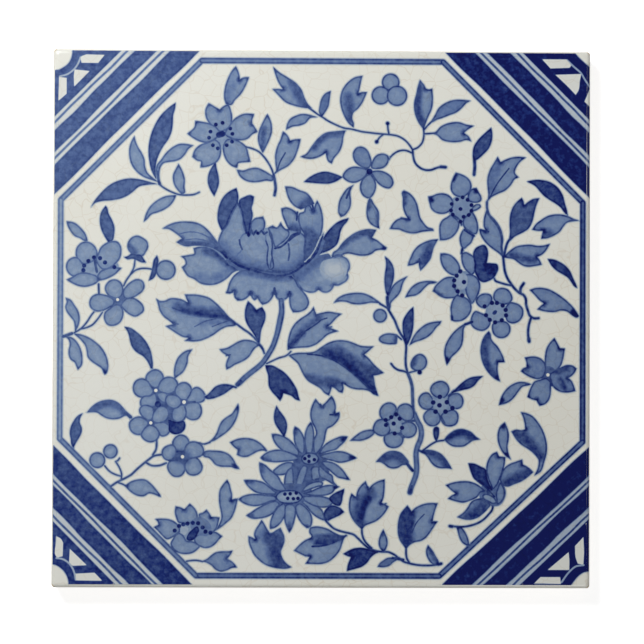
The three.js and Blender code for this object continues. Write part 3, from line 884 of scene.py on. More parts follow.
print_spray("first_blossom_right", [
    pale("23.2,36.7! 22.7,36.3 22.9,34.5 22.9,32.7 23.2,31 23.8,29.6 24.3,28.7! 22.8,28.9 21.2,28.4 "
         "20,27.2 19.2,25.8! 20.5,25.7 21.9,25.6 23.4,25 25,24.6 26.7,24.6 28.3,25 30,25.2 31.7,25.3! "
         "31.6,25.7 30,26.3 28.8,27.6 27.8,29.2 27.4,31 26.9,33 25.9,34.8 24.5,36.1",
         dab(DARK, 1.3, "23.3,36.3 23.5,33")),
    pen(0.58, "22.5,28.8 24.9,28.4"),
    pale("33,22.9! 31,22.7 29,22 27.2,20.9 26,19.5 25.2,17.8 24.5,16 24.4,15.4! 25.7,15.6 27,16.1 "
         "27.5,16.2! 27.6,15.3 28,14! 29,15 30,16.2 30.9,17.5 31.3,19 31.7,20.5 32.4,21.9",
         dab(DARK, 3.4, "29.5,17 31,20.5")),
    pen(0.48, "27.7,17.3 27.8,16"),
    pale("32.8,10.8! 31,11.1 29,11 27,10.4 25.5,9.3 24.4,7.8 23.7,6.4! 25,6.7 26.7,7 28,7.8 29.1,9 "
         "30.5,10.2 32.3,10.5"),
    *pips(7.4, "39.5,31.6", PALE, PALE),
    pale("37.9,41.8! 39.5,41.3 40.9,40.6 41.9,39.6 42.4,38.2 42.2,36.8 41.4,35.7 40.2,34.9 38.7,34.9 "
         "37.3,35.6 36.6,36.7 36.5,38.2 36.9,39.8 37.4,40.9", dab(DEEP, 1, "38,41.2 37.3,39.7")),
    pale("30.1,35! 31.3,35.2 32.5,35.7 34,35.9 35.5,35.6 36.6,34.8 37.3,33.5 37.2,32 36.4,31 35,30.2 "
         "33.5,30.1 32,30.6 31,31.5 30.5,33 30.2,34", dab(DEEP, 1.4, "30.7,34.4 31,34")),
    pale("43.8,37.5! 42.5,37.2 41.8,36.4 41.3,35.2 41.5,33.8 42.8,33.3 44.2,33.3 45.2,34 45.2,34.9 44.6,36",
         dab(DEEP, 1, "43.5,37 43.8,36.3")),
    wash(0.3, "42.9,32.3 43.8,32.9 44.8,32.8 45.1,32.2 44.3,31.4 43,30.9 42.2,31"),
    pale("40,28.5 40.8,29.6 42.6,30.7 43.2,30 43.9,28.6 44.3,27 44.3,25.5 43.8,24.4 43,24.4 42,25 "
         "40.8,25.7 40.2,26.5 39.9,27.5"),
    pale("36.8,30 35.5,29.2 34.2,28.4 33.5,27.3 33.3,25.5 33.4,23.8 33.5,22.6! 35,22.7 36.5,23.2 37.9,24.4 "
         "38.8,26 39,27.5 38.3,28.6 37.5,29.3"),
    pale("40.2,25.7 41.2,25.4 42.3,24.7 43.3,24.1! 42.9,23 42.3,21.8 41.4,21 40.3,20.2 39.7,20.6 39.2,22 "
         "39.1,23.4 39.5,24.7"),
    pen(0.68, "40.5,25.6 43.1,23.9"), pen(0.68, "39.9,20.2 39.7,19"),
    pen(0.58, "36.7,31.5 37,30 38.5,28.9 39.3,28 39.6,27", DARK), pen(0.58, "42.3,31.3 42,29.8", DARK),
    *pips(1.1, "39.3,31.5 38.3,34.2 39.9,34.8 41.3,34.1 42.4,32.6 42.4,31 41.6,29.8 40.2,29.3 39.3,27.9 "
          "37.1,29.9 36.6,31.1 36.8,32.9"),
])

print_spray("right_stem_and_leaves", [
    pen(0.6, "46.8,33.5 46.9,31.5 47.5,29.8 48.8,28.4 50,26.8 50.8,25 51.2,22.8 51,20.8 51.5,18.5", 0.74),
    pen(0.6, "51.5,18 51.7,16 52,14 52.7,12 53.7,10.4 54.8,9 56,7.9 57.5,7 58,6 58.1,4.5 58.6,2.8 59.2,1.3 "
        "60.2,.6 61.7,.6"),
    pen(0.68, "56.4,7.8 56.5,9 57.4,10.5"), pen(0.48, "48.9,12 49.3,11.2 50.5,10.7 52.2,10.2 53.7,9.9"),
    pen(0.58, "59.6,.9 59,-1 58.7,-3 58.8,-4.8 59,-6"), pen(0.88, "58.9,-5.2 59,-6"),
    pen(0.58, "51.8,18.3 52.2,20.5 53,22.5 54,23.7"),
    pale("46.9,31.5 46.2,29.8 45.9,28 46,26.4 46.5,25.3! 44.6,25.8! 45,24.3 46,22.6 47.4,21.1 49,19.9 "
         "50.5,18.8 51.3,18 51.1,20.5 51.2,22.8 50.7,25.2 49.8,27 48.5,28.6 47.4,30"),
    pen(0.48, "45,25.6 47.3,25.1"),
    wash(0.68, "53.4,25 53.3,27.5 53.5,30 54.2,32 55.4,33.6 56.7,34.7! 57.2,33.7 57.4,32.6! 58.5,33.5 "
         "59.8,34.3 61.7,34.6! 61,33 60.4,31 60,29 59.4,27.2 58.4,25.8 57.2,25 56,24.4 54.7,23.7 53.3,22.5"),
    pale("64.8,21.7! 63,21.2 61.3,21.1 59.3,21.4 57.2,21.3 55.2,20.9 53.8,20 52.4,18.8 51.6,17.8! 53,17.6 "
         "54.5,17.3 56,16.2 57.4,15.4 59,15.2 60.5,15.4 62.5,15.8! 61.9,17 61.2,18! 62.3,18.5 63.6,19.7 "
         "64.4,21", dab(DARK, 1.8, "54,18.5 60,17")),
    pale("73.1,28.3! 71.5,28.8 70,29.5 68,30 66,30 64,29.5 62.2,28.4 60.8,27.3 59.7,25.7! 61,25.4 "
         "62.8,25.4! 62.5,24.2 62.3,23.1! 64,23.3 66,24.1 67.6,25.2 68.6,26.6 69.6,27.7 71.3,28.1",
         dab(DARK, 2, "63,24.3 64.5,24.8")),
    wash(DARK, "64.2,17.4! 66,17.2 67.8,16.4 69.4,15.3 70.6,13.8 71.4,12 72.2,10.3 72.6,9.2! 72,9.5 "
         "71,10.8 69.9,12.2 68.3,13.2 66.8,14.1 65.4,15.4"),
    pale("59.1,8.6! 60.5,9.1 62.5,9.2 64.5,8.8 66.5,7.8 68.3,6.6 70,5.2 71.7,3.5 73.2,1.2! 72.7,.8 71,1.6 "
         "69.8,2.5 68,2.8 66.5,2.4 64.5,2.4 62.7,2.7 61.3,3.1! 62.2,4 63.2,4.8! 62,5.6 60.7,7",
         dab(DEEP, 1.4, "71.5,2.5 73,1")),
])

print_spray("second_blossom_right", [
    *pips(6.6, "40.4,10.6", PALE, PALE),
    pale("33.7,18.9! 35,18.9 36.5,18.5 38,17.3 39,15.8 39.3,14.2 38.6,12.8 37.2,12.7 35.7,13.5 34.5,14.8 "
         "33.8,16.4 33.6,17.8"),
    pale("39.7,18.8 40.7,19.3 42,18.8 43.3,17.8 43.7,16.5 43.6,15 43.4,13.5 42.6,12.8 41.5,13.5 40.4,14.8 "
         "39.8,16.2 39.6,17.6"),
    wash(DARK, "43.1,19.4 43.5,20.2 44.7,21 46.1,21.3 46.9,20.4 47.2,19 47,17.3 46.8,16.2! 48.3,16.1 "
         "49.8,15.8 50.1,14.8 49.6,13.2 48.8,12 47.5,11.2 45.8,10.8 44.9,11.2 44,12.5 43.4,13.8 43.4,16 "
         "43,17.8", dab(DEEP, 2.6, "47.5,14.8 48.6,14")),
    pale("41,13 42.5,13 43.8,12.4 44.8,11 45,9.3 44.5,7.3 43.6,5.6 42.6,4.6 42,5.5 41,7.5 40.7,9.5 "
         "40.9,11.5"),
    pale("31.5,8.2! 32.3,9.8 33.5,11 35,12 36.5,12.3 38,12 37.6,10.5 38,9 39,7.5 38,6.4 36.5,6.2 35,6.2 "
         "33.5,6.8 32.3,7.7", dab(DARK, 1, "32,8 34,6.9")),
    pale("38,7 40,6.8 41.3,6.2 42.3,5 42.6,3.4 42.2,2 41.3,.8 40,-.1 38.4,-.4 37.3,-.2 36.8,.6 36.7,2 "
         "36.6,3.6 37,5.2 37.5,6.3"),
    pen(0.68, "37,1.2 37.1,.2"),
    wash(0.3, "38.4,13.2 40,13.6 41.4,12.6 41.6,10.8 40.8,8.8 39.4,8.4 38.1,9.6 37.6,11.6", rim=0.34),
    *pips(1.2, "40.4,10.8 39.3,13.8 38.3,12.6 37.6,11.3 37.6,9.7 38.6,8.2 39.9,7"),
])

print_spray("third_blossom_right", [
    pale("48.5,6.3 48,7.2 46.8,7.6 45.2,7.3 44.1,6.3 43.8,5.3 44.6,4 45.7,3.4 46.8,3.5 48,4.8"),
    pale("48.8,6 48.9,7.6 49.8,8.8 51.3,9.2 52.9,8.7 53.9,7.4 54.2,6 53.6,5 52,4.4 50,4.8"),
    pale("53.5,5.1 55,4.9 56.3,4.3 57.2,3.2 57.3,1.8 56.8,.5 55.8,-.5 54.3,-.9 52.8,-.4 52.2,1 52,3 "
         "52.6,4.3"),
    pale("42.4,.5 42.3,-.8 43,-2 44.3,-2.8 45.9,-3 47.3,-2.2 48,-1 47.9,.2 46.9,1.2 45,2.2 43.8,2.6"),
    pale("48.6,-1 48.4,-2.5 48.9,-4 50,-4.9 51.4,-5.1 52.8,-4.5 53.6,-3.2 53.5,-1.5 52.6,-.5 51,-.2 "
         "49.5,-.4"),
    wash(0.36, "46.8,3.4 48,4.8 49.8,4.9 52,4.3 52.2,1.4 51,0 49.2,-.6 47.6,.4 46.7,1.6", rim=PALE),
    pen(1, "49,2 49.4,2.4"),
    *pips(1.2, "46.3,3.9 46.7,1.4 47.8,.1 49.3,-.6 51.2,0 52.4,1.4 52.3,2.9 51.4,4.2 49.8,4.9 48.4,4.9"),
])

# Left side: blossoms, bud and hanging leaves
# Two small blossoms and two buds against the left line, and leaves that hang from a fan of thin stems.
print_spray("left_blossoms_and_buds", [
    wash(DARK, "-61.3,32.1! -62.5,30.3 -62.9,28.1 -62.7,26.3 -61.3,23.1 -60.5,21.8! -59.4,22.2 -58.9,23.9 "
         "-58.8,26 -59.5,28.1 -60.5,30 -60.9,31.6"),
    pale("-72.2,27.6! -70.2,27.2 -68.4,25.8 -67,24 -66.4,22.2! -67.3,22.3 -68.4,23 -69.9,23.6 -71.1,25 "
         "-71.9,26.5"),
    pen(0.48, "-63.2,10 -63.1,7.3"), pen(0.38, "-52.9,16.9 -53.3,14.5 -54.1,12.9 -55.5,10.8 -56.1,9.5"),
    pen(0.38, "-54.1,12.8 -52.8,13.9 -51.2,14.4 -49.3,14.4 -47.7,14.1"),
    pale("-68.8,17.8 -66,18.6 -63,18.8 -59.5,17.6 -57.6,14.6 -60,12.6 -63.4,11.6 -67,12.4 -68.6,14.6",
         rim=PALE),
    pale("-69.6,18.8 -69.2,20.4 -68,21.6 -66.6,21.9 -65.1,21.3 -64,20 -63.6,18.6 -64.3,17 -65.7,16 "
         "-67.7,15.7 -69.1,16.8"),
    pale("-63.3,18.6 -62.6,20.2 -61.2,21.4 -59.6,22 -58,21.9 -57.1,20.8 -56.9,19 -57.4,17.1 -58.5,15.8 "
         "-60,14.6 -62,14.2 -63.4,15.5 -63.9,17"),
    pale("-69.4,17.5 -71,17.2 -72.1,16 -72.3,14.6 -71.8,13.3 -70.6,12.3 -68.9,12.4 -67.6,13.6 -67.4,15 "
         "-68.2,16.4"),
    pale("-56.8,14.5! -58.5,14.7 -61,14.3 -62.7,13.5 -63.5,12.3 -63.3,11! -61.8,11.3 -60,12 -58.5,12.9 "
         "-57.6,13.8"),
    pale("-72.1,11.2! -70.8,11.8 -69.2,12.8 -67.4,13.2 -65.3,12.8 -63.9,12.3 -62.9,11.2! -64.1,10.2 "
         "-65.5,9.6 -67.3,9.3 -69.3,9.7 -71.1,10.6"),
    pen(0.7, "-64.3,16.7 -63.7,13.4"),
    *pips(1.2, "-64.5,17.5 -66.1,16.5 -67.3,15.2 -67.5,13.9 -62.8,17.3 -61.4,16.1 -58.8,14.8"),
    pale("-55,20.5 -54.7,22 -53.8,23.1 -52.4,23.6 -50.8,23 -49.6,22 -49.3,20.7 -49.9,19.2 -50.8,18 "
         "-53.5,18.4", dab(DARK, 1.6, "-54.5,20.8 -53,19")),
    wash(DARK, "-56,17.6! -54.9,17.9 -54,18.6 -52.5,18.4 -51.4,18.3 -50.4,17 -49.8,16.1! -51.2,16.2 "
         "-52.5,16.8 -53.7,17.2 -55,17"),
    *pips(5.6, "-44.2,14", PALE, BERRY_RIM),
    wash(DARK, "-46.7,18.1! -47.5,17 -47.9,15.2 -48.4,13 -49,11! -47.9,11.5 -46.9,13 -46.6,15 -46.3,16.6"),
    *pips(5.6, "-57.8,5.2", 0.66, 0.66),
    pale("-61.3,8.9 -60,10.9 -58.4,11.2 -56.9,10.3 -56.3,8.7 -56.7,6.8 -57.6,6 -59.5,6.3 -60.8,7.3"),
    pale("-56.3,7.9 -55.5,9.2 -54.1,10.5 -52.5,11.3 -50.9,10.9 -50.3,9.5 -50.8,8.1 -52,7.1 -53.3,6.3 "
         "-55.7,6"),
    pale("-55.2,5.9 -53.3,6 -52,5.3 -50.8,4.1 -50.5,2.5 -51.5,1.5 -52.8,.9 -54.4,1.5 -55.7,2.5 -56.8,3.9"),
    pale("-57.3,4.1 -56.3,2.5 -56.4,.7 -57.3,-.9 -58.9,-1.7 -60.5,-1.5 -61.5,.1 -61.3,2 -60,3.1 -58.7,4.1"),
    pale("-58.7,5.2 -60,6.4 -61.6,6.9 -63.5,7.1 -65.1,6.3 -65.7,4.9 -65.3,3.3 -64,2.4 -62.1,2.5 -60.3,3.3 "
         "-58.9,4.3"),
    *pips(1.7, "-57.8,5.4", DARK), *pips(0.9, "-57.8,5.6", 0),
], swell=0.12)

print_spray("hanging_leaves_left", [
    pen(0.78, "-73.2,-4.9 -70.7,-4"), pen(0.38, "-70,-3.8 -68,-2.5 -66.5,-.8 -65.2,1.2 -64.5,2.1"),
    pen(0.38, "-68.5,-2.8 -66.5,-2.3 -65,-1.6 -63.5,0 -62.1,2"),
    pale("-72.5,6.1! -71.2,5.6 -69.9,3.9 -68.8,2 -68.5,.1 -68.8,-1.6 -69.8,-3.7! -69.9,-2 -70.2,-.5 "
         "-71.2,.8 -72.2,2.2 -72.6,3.6 -72.2,4.9"),
    pale("-70.2,-4! -68,-4.3 -66,-5.1 -64,-6.4 -62.3,-8 -61.1,-10 -60.5,-12 -60.4,-13.7 -60.9,-15.3 "
         "-61.4,-15.7! -61.8,-15 -62.2,-14 -63.5,-13 -65,-12 -66.2,-10.7 -66.5,-9 -66.9,-7.5 -68,-6 "
         "-69.3,-4.8", dab(DEEP, 1.4, "-61.4,-15.2 -61.6,-14.6")),
    pale("-72.6,-4.9! -71,-5 -69.8,-5.8 -68.7,-7.3 -68,-9 -67.7,-11 -67.9,-13 -69,-14.3! -69.4,-13.3 "
         "-69.9,-12.2 -71,-11.4 -71.6,-10 -71.6,-8.6 -71.3,-7 -71.6,-5.8"),
    wash(DARK, "-55.8,-2.1! -54.2,-2.4 -52.5,-3.5 -50.8,-5 -49.3,-7 -48.4,-9 -48,-11 -47.8,-13 "
         "-48.1,-14.6! -48.7,-13 -49.4,-11.7 -50.5,-10.4 -52,-9.5 -53.3,-8.3 -54,-6.9 -54.4,-5.2 "
         "-54.9,-3.5"),
    pale("-36.6,-8.4! -38.3,-8.8 -39.7,-9.7 -40.8,-11 -41.5,-12.8 -41.8,-14.8 -41.7,-16.9! -40.6,-16 "
         "-39.3,-15 -38.4,-13.5 -37.9,-12 -37.8,-10.5 -37.2,-9.3"),
    pale("-66.4,-26.4! -65.2,-24.9 -63.5,-23.6 -61.5,-22.9 -59.5,-22.8 -57.7,-23.5 -56.3,-24.8 -55.3,-26 "
         "-54,-27.7! -55.5,-27.3 -57,-28 -59,-28.3 -60.8,-28 -62.3,-27.2 -63.5,-26.4 -65,-26.3",
         dab(DARK, 2.2, "-65,-25.3 -61,-23.8 -57.5,-24.6 -55.5,-26.4")),
    pen(0.88, "-55.5,-26.4 -54,-27.7"),
    wash(DARK, "-67.6,-26.6! -68.9,-27.3 -70.1,-28.8 -70.9,-30.4 -71.2,-32.2 -70.9,-34 -70.7,-35.6 "
         "-70.2,-36.5! -69.8,-35.6 -68.6,-33.5 -67.9,-32 -67.9,-30.5 -68.4,-29.3 -68.3,-28"),
])

# Left of the middle: cluster of three small blossoms
# Close-set round petals over a dark ground, each blossom with a bare spot at its eye.
print_spray("blossom_cluster_left", [
    pen(0.48, "-46.8,-33.5 -46.6,-35.3 -46.8,-36.8 -47.7,-38.4"),
    wash(DARK, "-49.5,-21.5 -47,-18.5 -43,-19.5 -38,-21 -36,-23.5 -38,-27 -41,-30 -46,-32 -50,-30.5 "
         "-49.5,-27 -48,-24.5"),
    pale("-46.9,-19.2 -45.4,-17.8 -45,-16.3 -45.7,-15 -47,-14.4 -48.4,-14.9 -49.4,-16 -49.5,-17.3 "
         "-48.5,-18.4"),
    pale("-47.8,-20.4 -48.5,-18.9 -49.5,-17.5 -51,-17 -52.5,-17.7 -53.1,-19.3 -52.7,-20.8 -51.5,-21.7 "
         "-49.8,-21.8 -48.3,-21.2"),
    pale("-46,-19.9 -45.7,-18.2 -44.8,-17 -43.2,-16.5 -41.8,-16.9 -41,-17.9 -41.1,-19.3 -42,-20.4 "
         "-43.5,-20.9 -45,-20.6"),
    pale("-47.2,-21.1 -48.5,-21.8 -50.3,-22 -51,-23 -50.9,-24.4 -49,-24.5 -47,-24.2 -46.8,-22.5"),
    pale("-46.4,-21.2 -46,-22.3 -45,-23.2 -44,-23.4 -43.5,-22.3 -43.9,-21.2 -45,-20.8"),
    *pips(1.8, "-46.9,-20.1", DARK), *pips(1, "-46.9,-20.1", 0),
    pale("-39.3,-22.6 -40.5,-22 -41.3,-20.7 -41,-19.2 -39.8,-18.2 -38.4,-18.1 -37.3,-19 -37,-20.5 "
         "-37.6,-21.8 -38.3,-22.6"),
    pale("-38,-22.9 -37.2,-21.5 -36.5,-20 -35.3,-19.4 -34.3,-19.9 -33.2,-21.5 -33.4,-22.7 -34.5,-23.3 "
         "-36.3,-23.3"),
    pale("-38,-24 -36.5,-23.6 -35,-23.8 -34.2,-25.3 -34.3,-26.8 -35.3,-28 -37,-28.1 -38.3,-27.2 "
         "-38.7,-25.7"),
    pale("-39.1,-24.4 -38.6,-25.6 -38.5,-27 -39.3,-28.4 -40.6,-28.8 -41.8,-28.3 -42.2,-26.8 -41.7,-25.4 "
         "-40.4,-24.5"),
    pale("-39.8,-23.3 -40.5,-22.1 -42,-21.5 -43.6,-21.8 -44,-23.3 -43,-24.6 -41.5,-25 -40.3,-24.4"),
    pen(0.68, "-37.9,-23.4 -35.8,-23.4", DARK), *pips(1.8, "-38.9,-23.4", DARK),
    *pips(1.1, "-38.9,-23.4", 0),
    pale("-48.6,-28.4 -49.8,-28 -50.8,-27 -51.3,-25.6 -50.6,-24.6 -49.3,-24.5 -48,-25.1 -47.6,-26.5 "
         "-47.9,-27.8"),
    pale("-47.6,-28.7 -47.5,-27 -46.7,-25.5 -45.3,-24.7 -43.9,-25.2 -43.4,-26.7 -44,-28.3 -45.3,-29 "
         "-46.7,-29.1"),
    pale("-49.2,-29.2 -50.2,-28.3 -51.5,-27.8 -53,-28.2 -54.1,-29.3 -54,-30.9 -52.8,-32.2 -51,-32.3 "
         "-50.2,-31 -49.6,-30.2"),
    pale("-48.6,-30.1 -47.4,-30.4 -46.3,-31.3 -46.1,-32.8 -46.9,-34 -48.4,-34.5 -49.8,-34 -50.8,-32.7 "
         "-50.3,-31.5 -49.5,-30.6"),
    pale("-47.5,-29.9 -46,-29.4 -44.5,-29.3 -43.3,-30.2 -43.1,-31.5 -44,-32.6 -45.3,-32.8 -46,-31.6 "
         "-46.8,-30.5"),
    wash(0.88, "-43.3,-28.4 -42,-28.8 -40.5,-29 -38.9,-28.8 -38.5,-30 -39,-31.5 -40.3,-32.4 -42,-32.4 "
         "-43.2,-31.5 -43.2,-30"),
    *pips(1.8, "-46.3,-24", DEEP), *pips(1.7, "-48.3,-29.3", DARK), *pips(1, "-48.3,-29.3", 0),
], swell=0.35)

# Middle: the great peony
# The largest flower, cup-shaped over a spread skirt of petals; its closed inner petals carry the darkest ink.
print_spray("peony_leaves", [
    pen(1.4, "-33,20.8 -30.2,19.8 -27.6,17.8 -25,15.6", 0.5),
    pale("-45.2,25.7! -44,26.5 -42.1,27.3 -40,27.7 -37.9,27.7 -36,27.5 -34,26.7 -32,25 -30.3,22.9 -29,21.2 "
         "-27.5,19.4 -25.8,17.5 -24.2,16 -22.5,14.8! -25,15.5 -27,17 -28.5,18.6 -30.5,20 -33,20.7 "
         "-36.5,20.9 -38.1,20.7 -40,21.2 -41.2,21.9! -39.7,22.9! -40.3,23.5 -41.6,24.5 -43.2,25.5",
         dab(DARK, 1.6, "-40,21.6 -36.5,21.4 -33,21.3 -30.5,20.8"),
         dab(DARK, 2.4, "-31.2,22.4 -28.6,19.8 -25.6,17.2"), dab(DEEP, 1.2, "-28.5,18.8 -26.5,17 -24,15.2")),
    pen(0.35, "-40.5,24.2 -37.5,24.8 -34.5,24.4 -31.8,23 -29.4,20.8", 0.7),
    pen(0.35, "-38.6,22.6 -35.5,22.8 -32.5,22.2 -30,20.8", 0.7),
    pale("-36.4,20.2! -34.8,20.6 -32.5,20.5 -30.5,19.6 -28.8,18.3 -27.2,16.8 -25.4,15.3 -23,14.2! "
         "-25.2,13.3 -26.5,12 -28,10.9 -30,10 -32.2,9.8 -34.5,10.3 -36.2,11.5 -38,12.3 -38.9,13.5 "
         "-39.7,14.8! -38.6,15.8 -38.9,17 -40,17.9! -37.5,18.3 -36.2,18.6",
         dab(DARK, 2.3, "-33,19.4 -30,18.4 -27,16.2 -24.4,14.6"),
         dab(0.86, 1.2, "-29.6,18.2 -26.6,15.9 -24,14.5"),
         dab(MID, 2.6, "-35.5,12 -32,11.2 -28.5,12.2 -25,13.9")),
    pale("-46.9,5.9! -45.9,5.3 -44.5,5.3 -42.9,6 -41.1,6 -39.2,5.5 -37.9,4.8! -38.8,7.1! -37.3,7.1 -36,7.1 "
         "-34,6.8 -32,6.2 -30.3,5 -28.8,3.6 -27.5,2.2 -26.3,.8 -25,-.2 -23.6,-1.4! -25,-1.8 -26.8,-2 "
         "-28.7,-2.9 -30.5,-4.2 -32.5,-5.3 -34.5,-6 -36.5,-6.2 -38.8,-6! -37.6,-5.2! -39.3,-4.9 -41,-4 "
         "-42.5,-3 -44.2,-1.9! -42,-1.3! -43.3,-.3 -44.9,1 -45.9,2.5 -46.4,4.4",
         dab(DARK, 2.8, "-41,3.7 -38,2.8 -35,2.4 -32,2.1 -29,1.9 -27,1.2"),
         dab(0.9, 1.5, "-39,2.5 -35,1.7 -32,1.3 -29,1 -26,.3 -24.2,-1"),
         dab(MID, 1.8, "-34,-1 -30,-.4 -27,-.8")),
    pen(0.35, "-42.3,3.3 -38,1.7 -35,1.2 -32,.8 -29,.5 -26,-.3 -24,-1.2"),
    pen(0.35, "-36,-2 -32.5,-.3 -30,.2", 0.8), pen(0.35, "-31,-2 -28.5,-1 -26.5,-.4", 0.8),
    pen(0.35, "-42.2,-1.1 -40.6,-1.3"),
    pen(0.48, "-24,-1.3 -22,-2.8 -20.5,-3.8 -19,-5.2 -17.8,-6.7 -16.8,-8 -16.2,-9.5"),
    wash(DARK, "-20.9,5.3! -21.6,3.1 -21.7,.7 -21.4,-.6 -20.6,-2.1 -19.6,-3.5 -18.6,-5.2 -17.6,-7! "
         "-17.4,-5 -17.2,-3.2 -16.6,-1.5 -16,.2 -16,1.8 -16.9,3.6! -18.5,2.8! -19.6,4.1"),
    wash(DARK, "7.5,28.8! 5.8,28.3 4.2,27.5 2.5,26 1,24.2 0,22.3 -.6,20.4 -1.5,19 -2.2,17.9 0,18.9 "
         "1.6,19.5 3,20.3 4.3,21.5 4.9,23.2 5.2,24.9 6,26.6 7.2,28"),
    pale("15.4,25.5! 13,25.7 11,25.3 9.3,24.6 7.7,23.5 6,22 5.2,21 4.5,20 3.2,19.1 2.7,17.4! 4.5,18.2 "
         "5.6,18.1 6.3,18.6 7.5,18.8 9.3,18.5 11,18.2 12.8,18.3 14.2,18.8 15.2,19.6 16.5,19.9 18.2,20 "
         "18.4,20.5! 17,21.5 15.6,22.6 14.2,23.3! 14.8,24.4",
         dab(DARK, 1.8, "14.8,24.6 11,24.4 7.7,22.8 5.4,20.8"), dab(DEEP, 1.2, "17.6,20.4 18.3,20.3")),
])

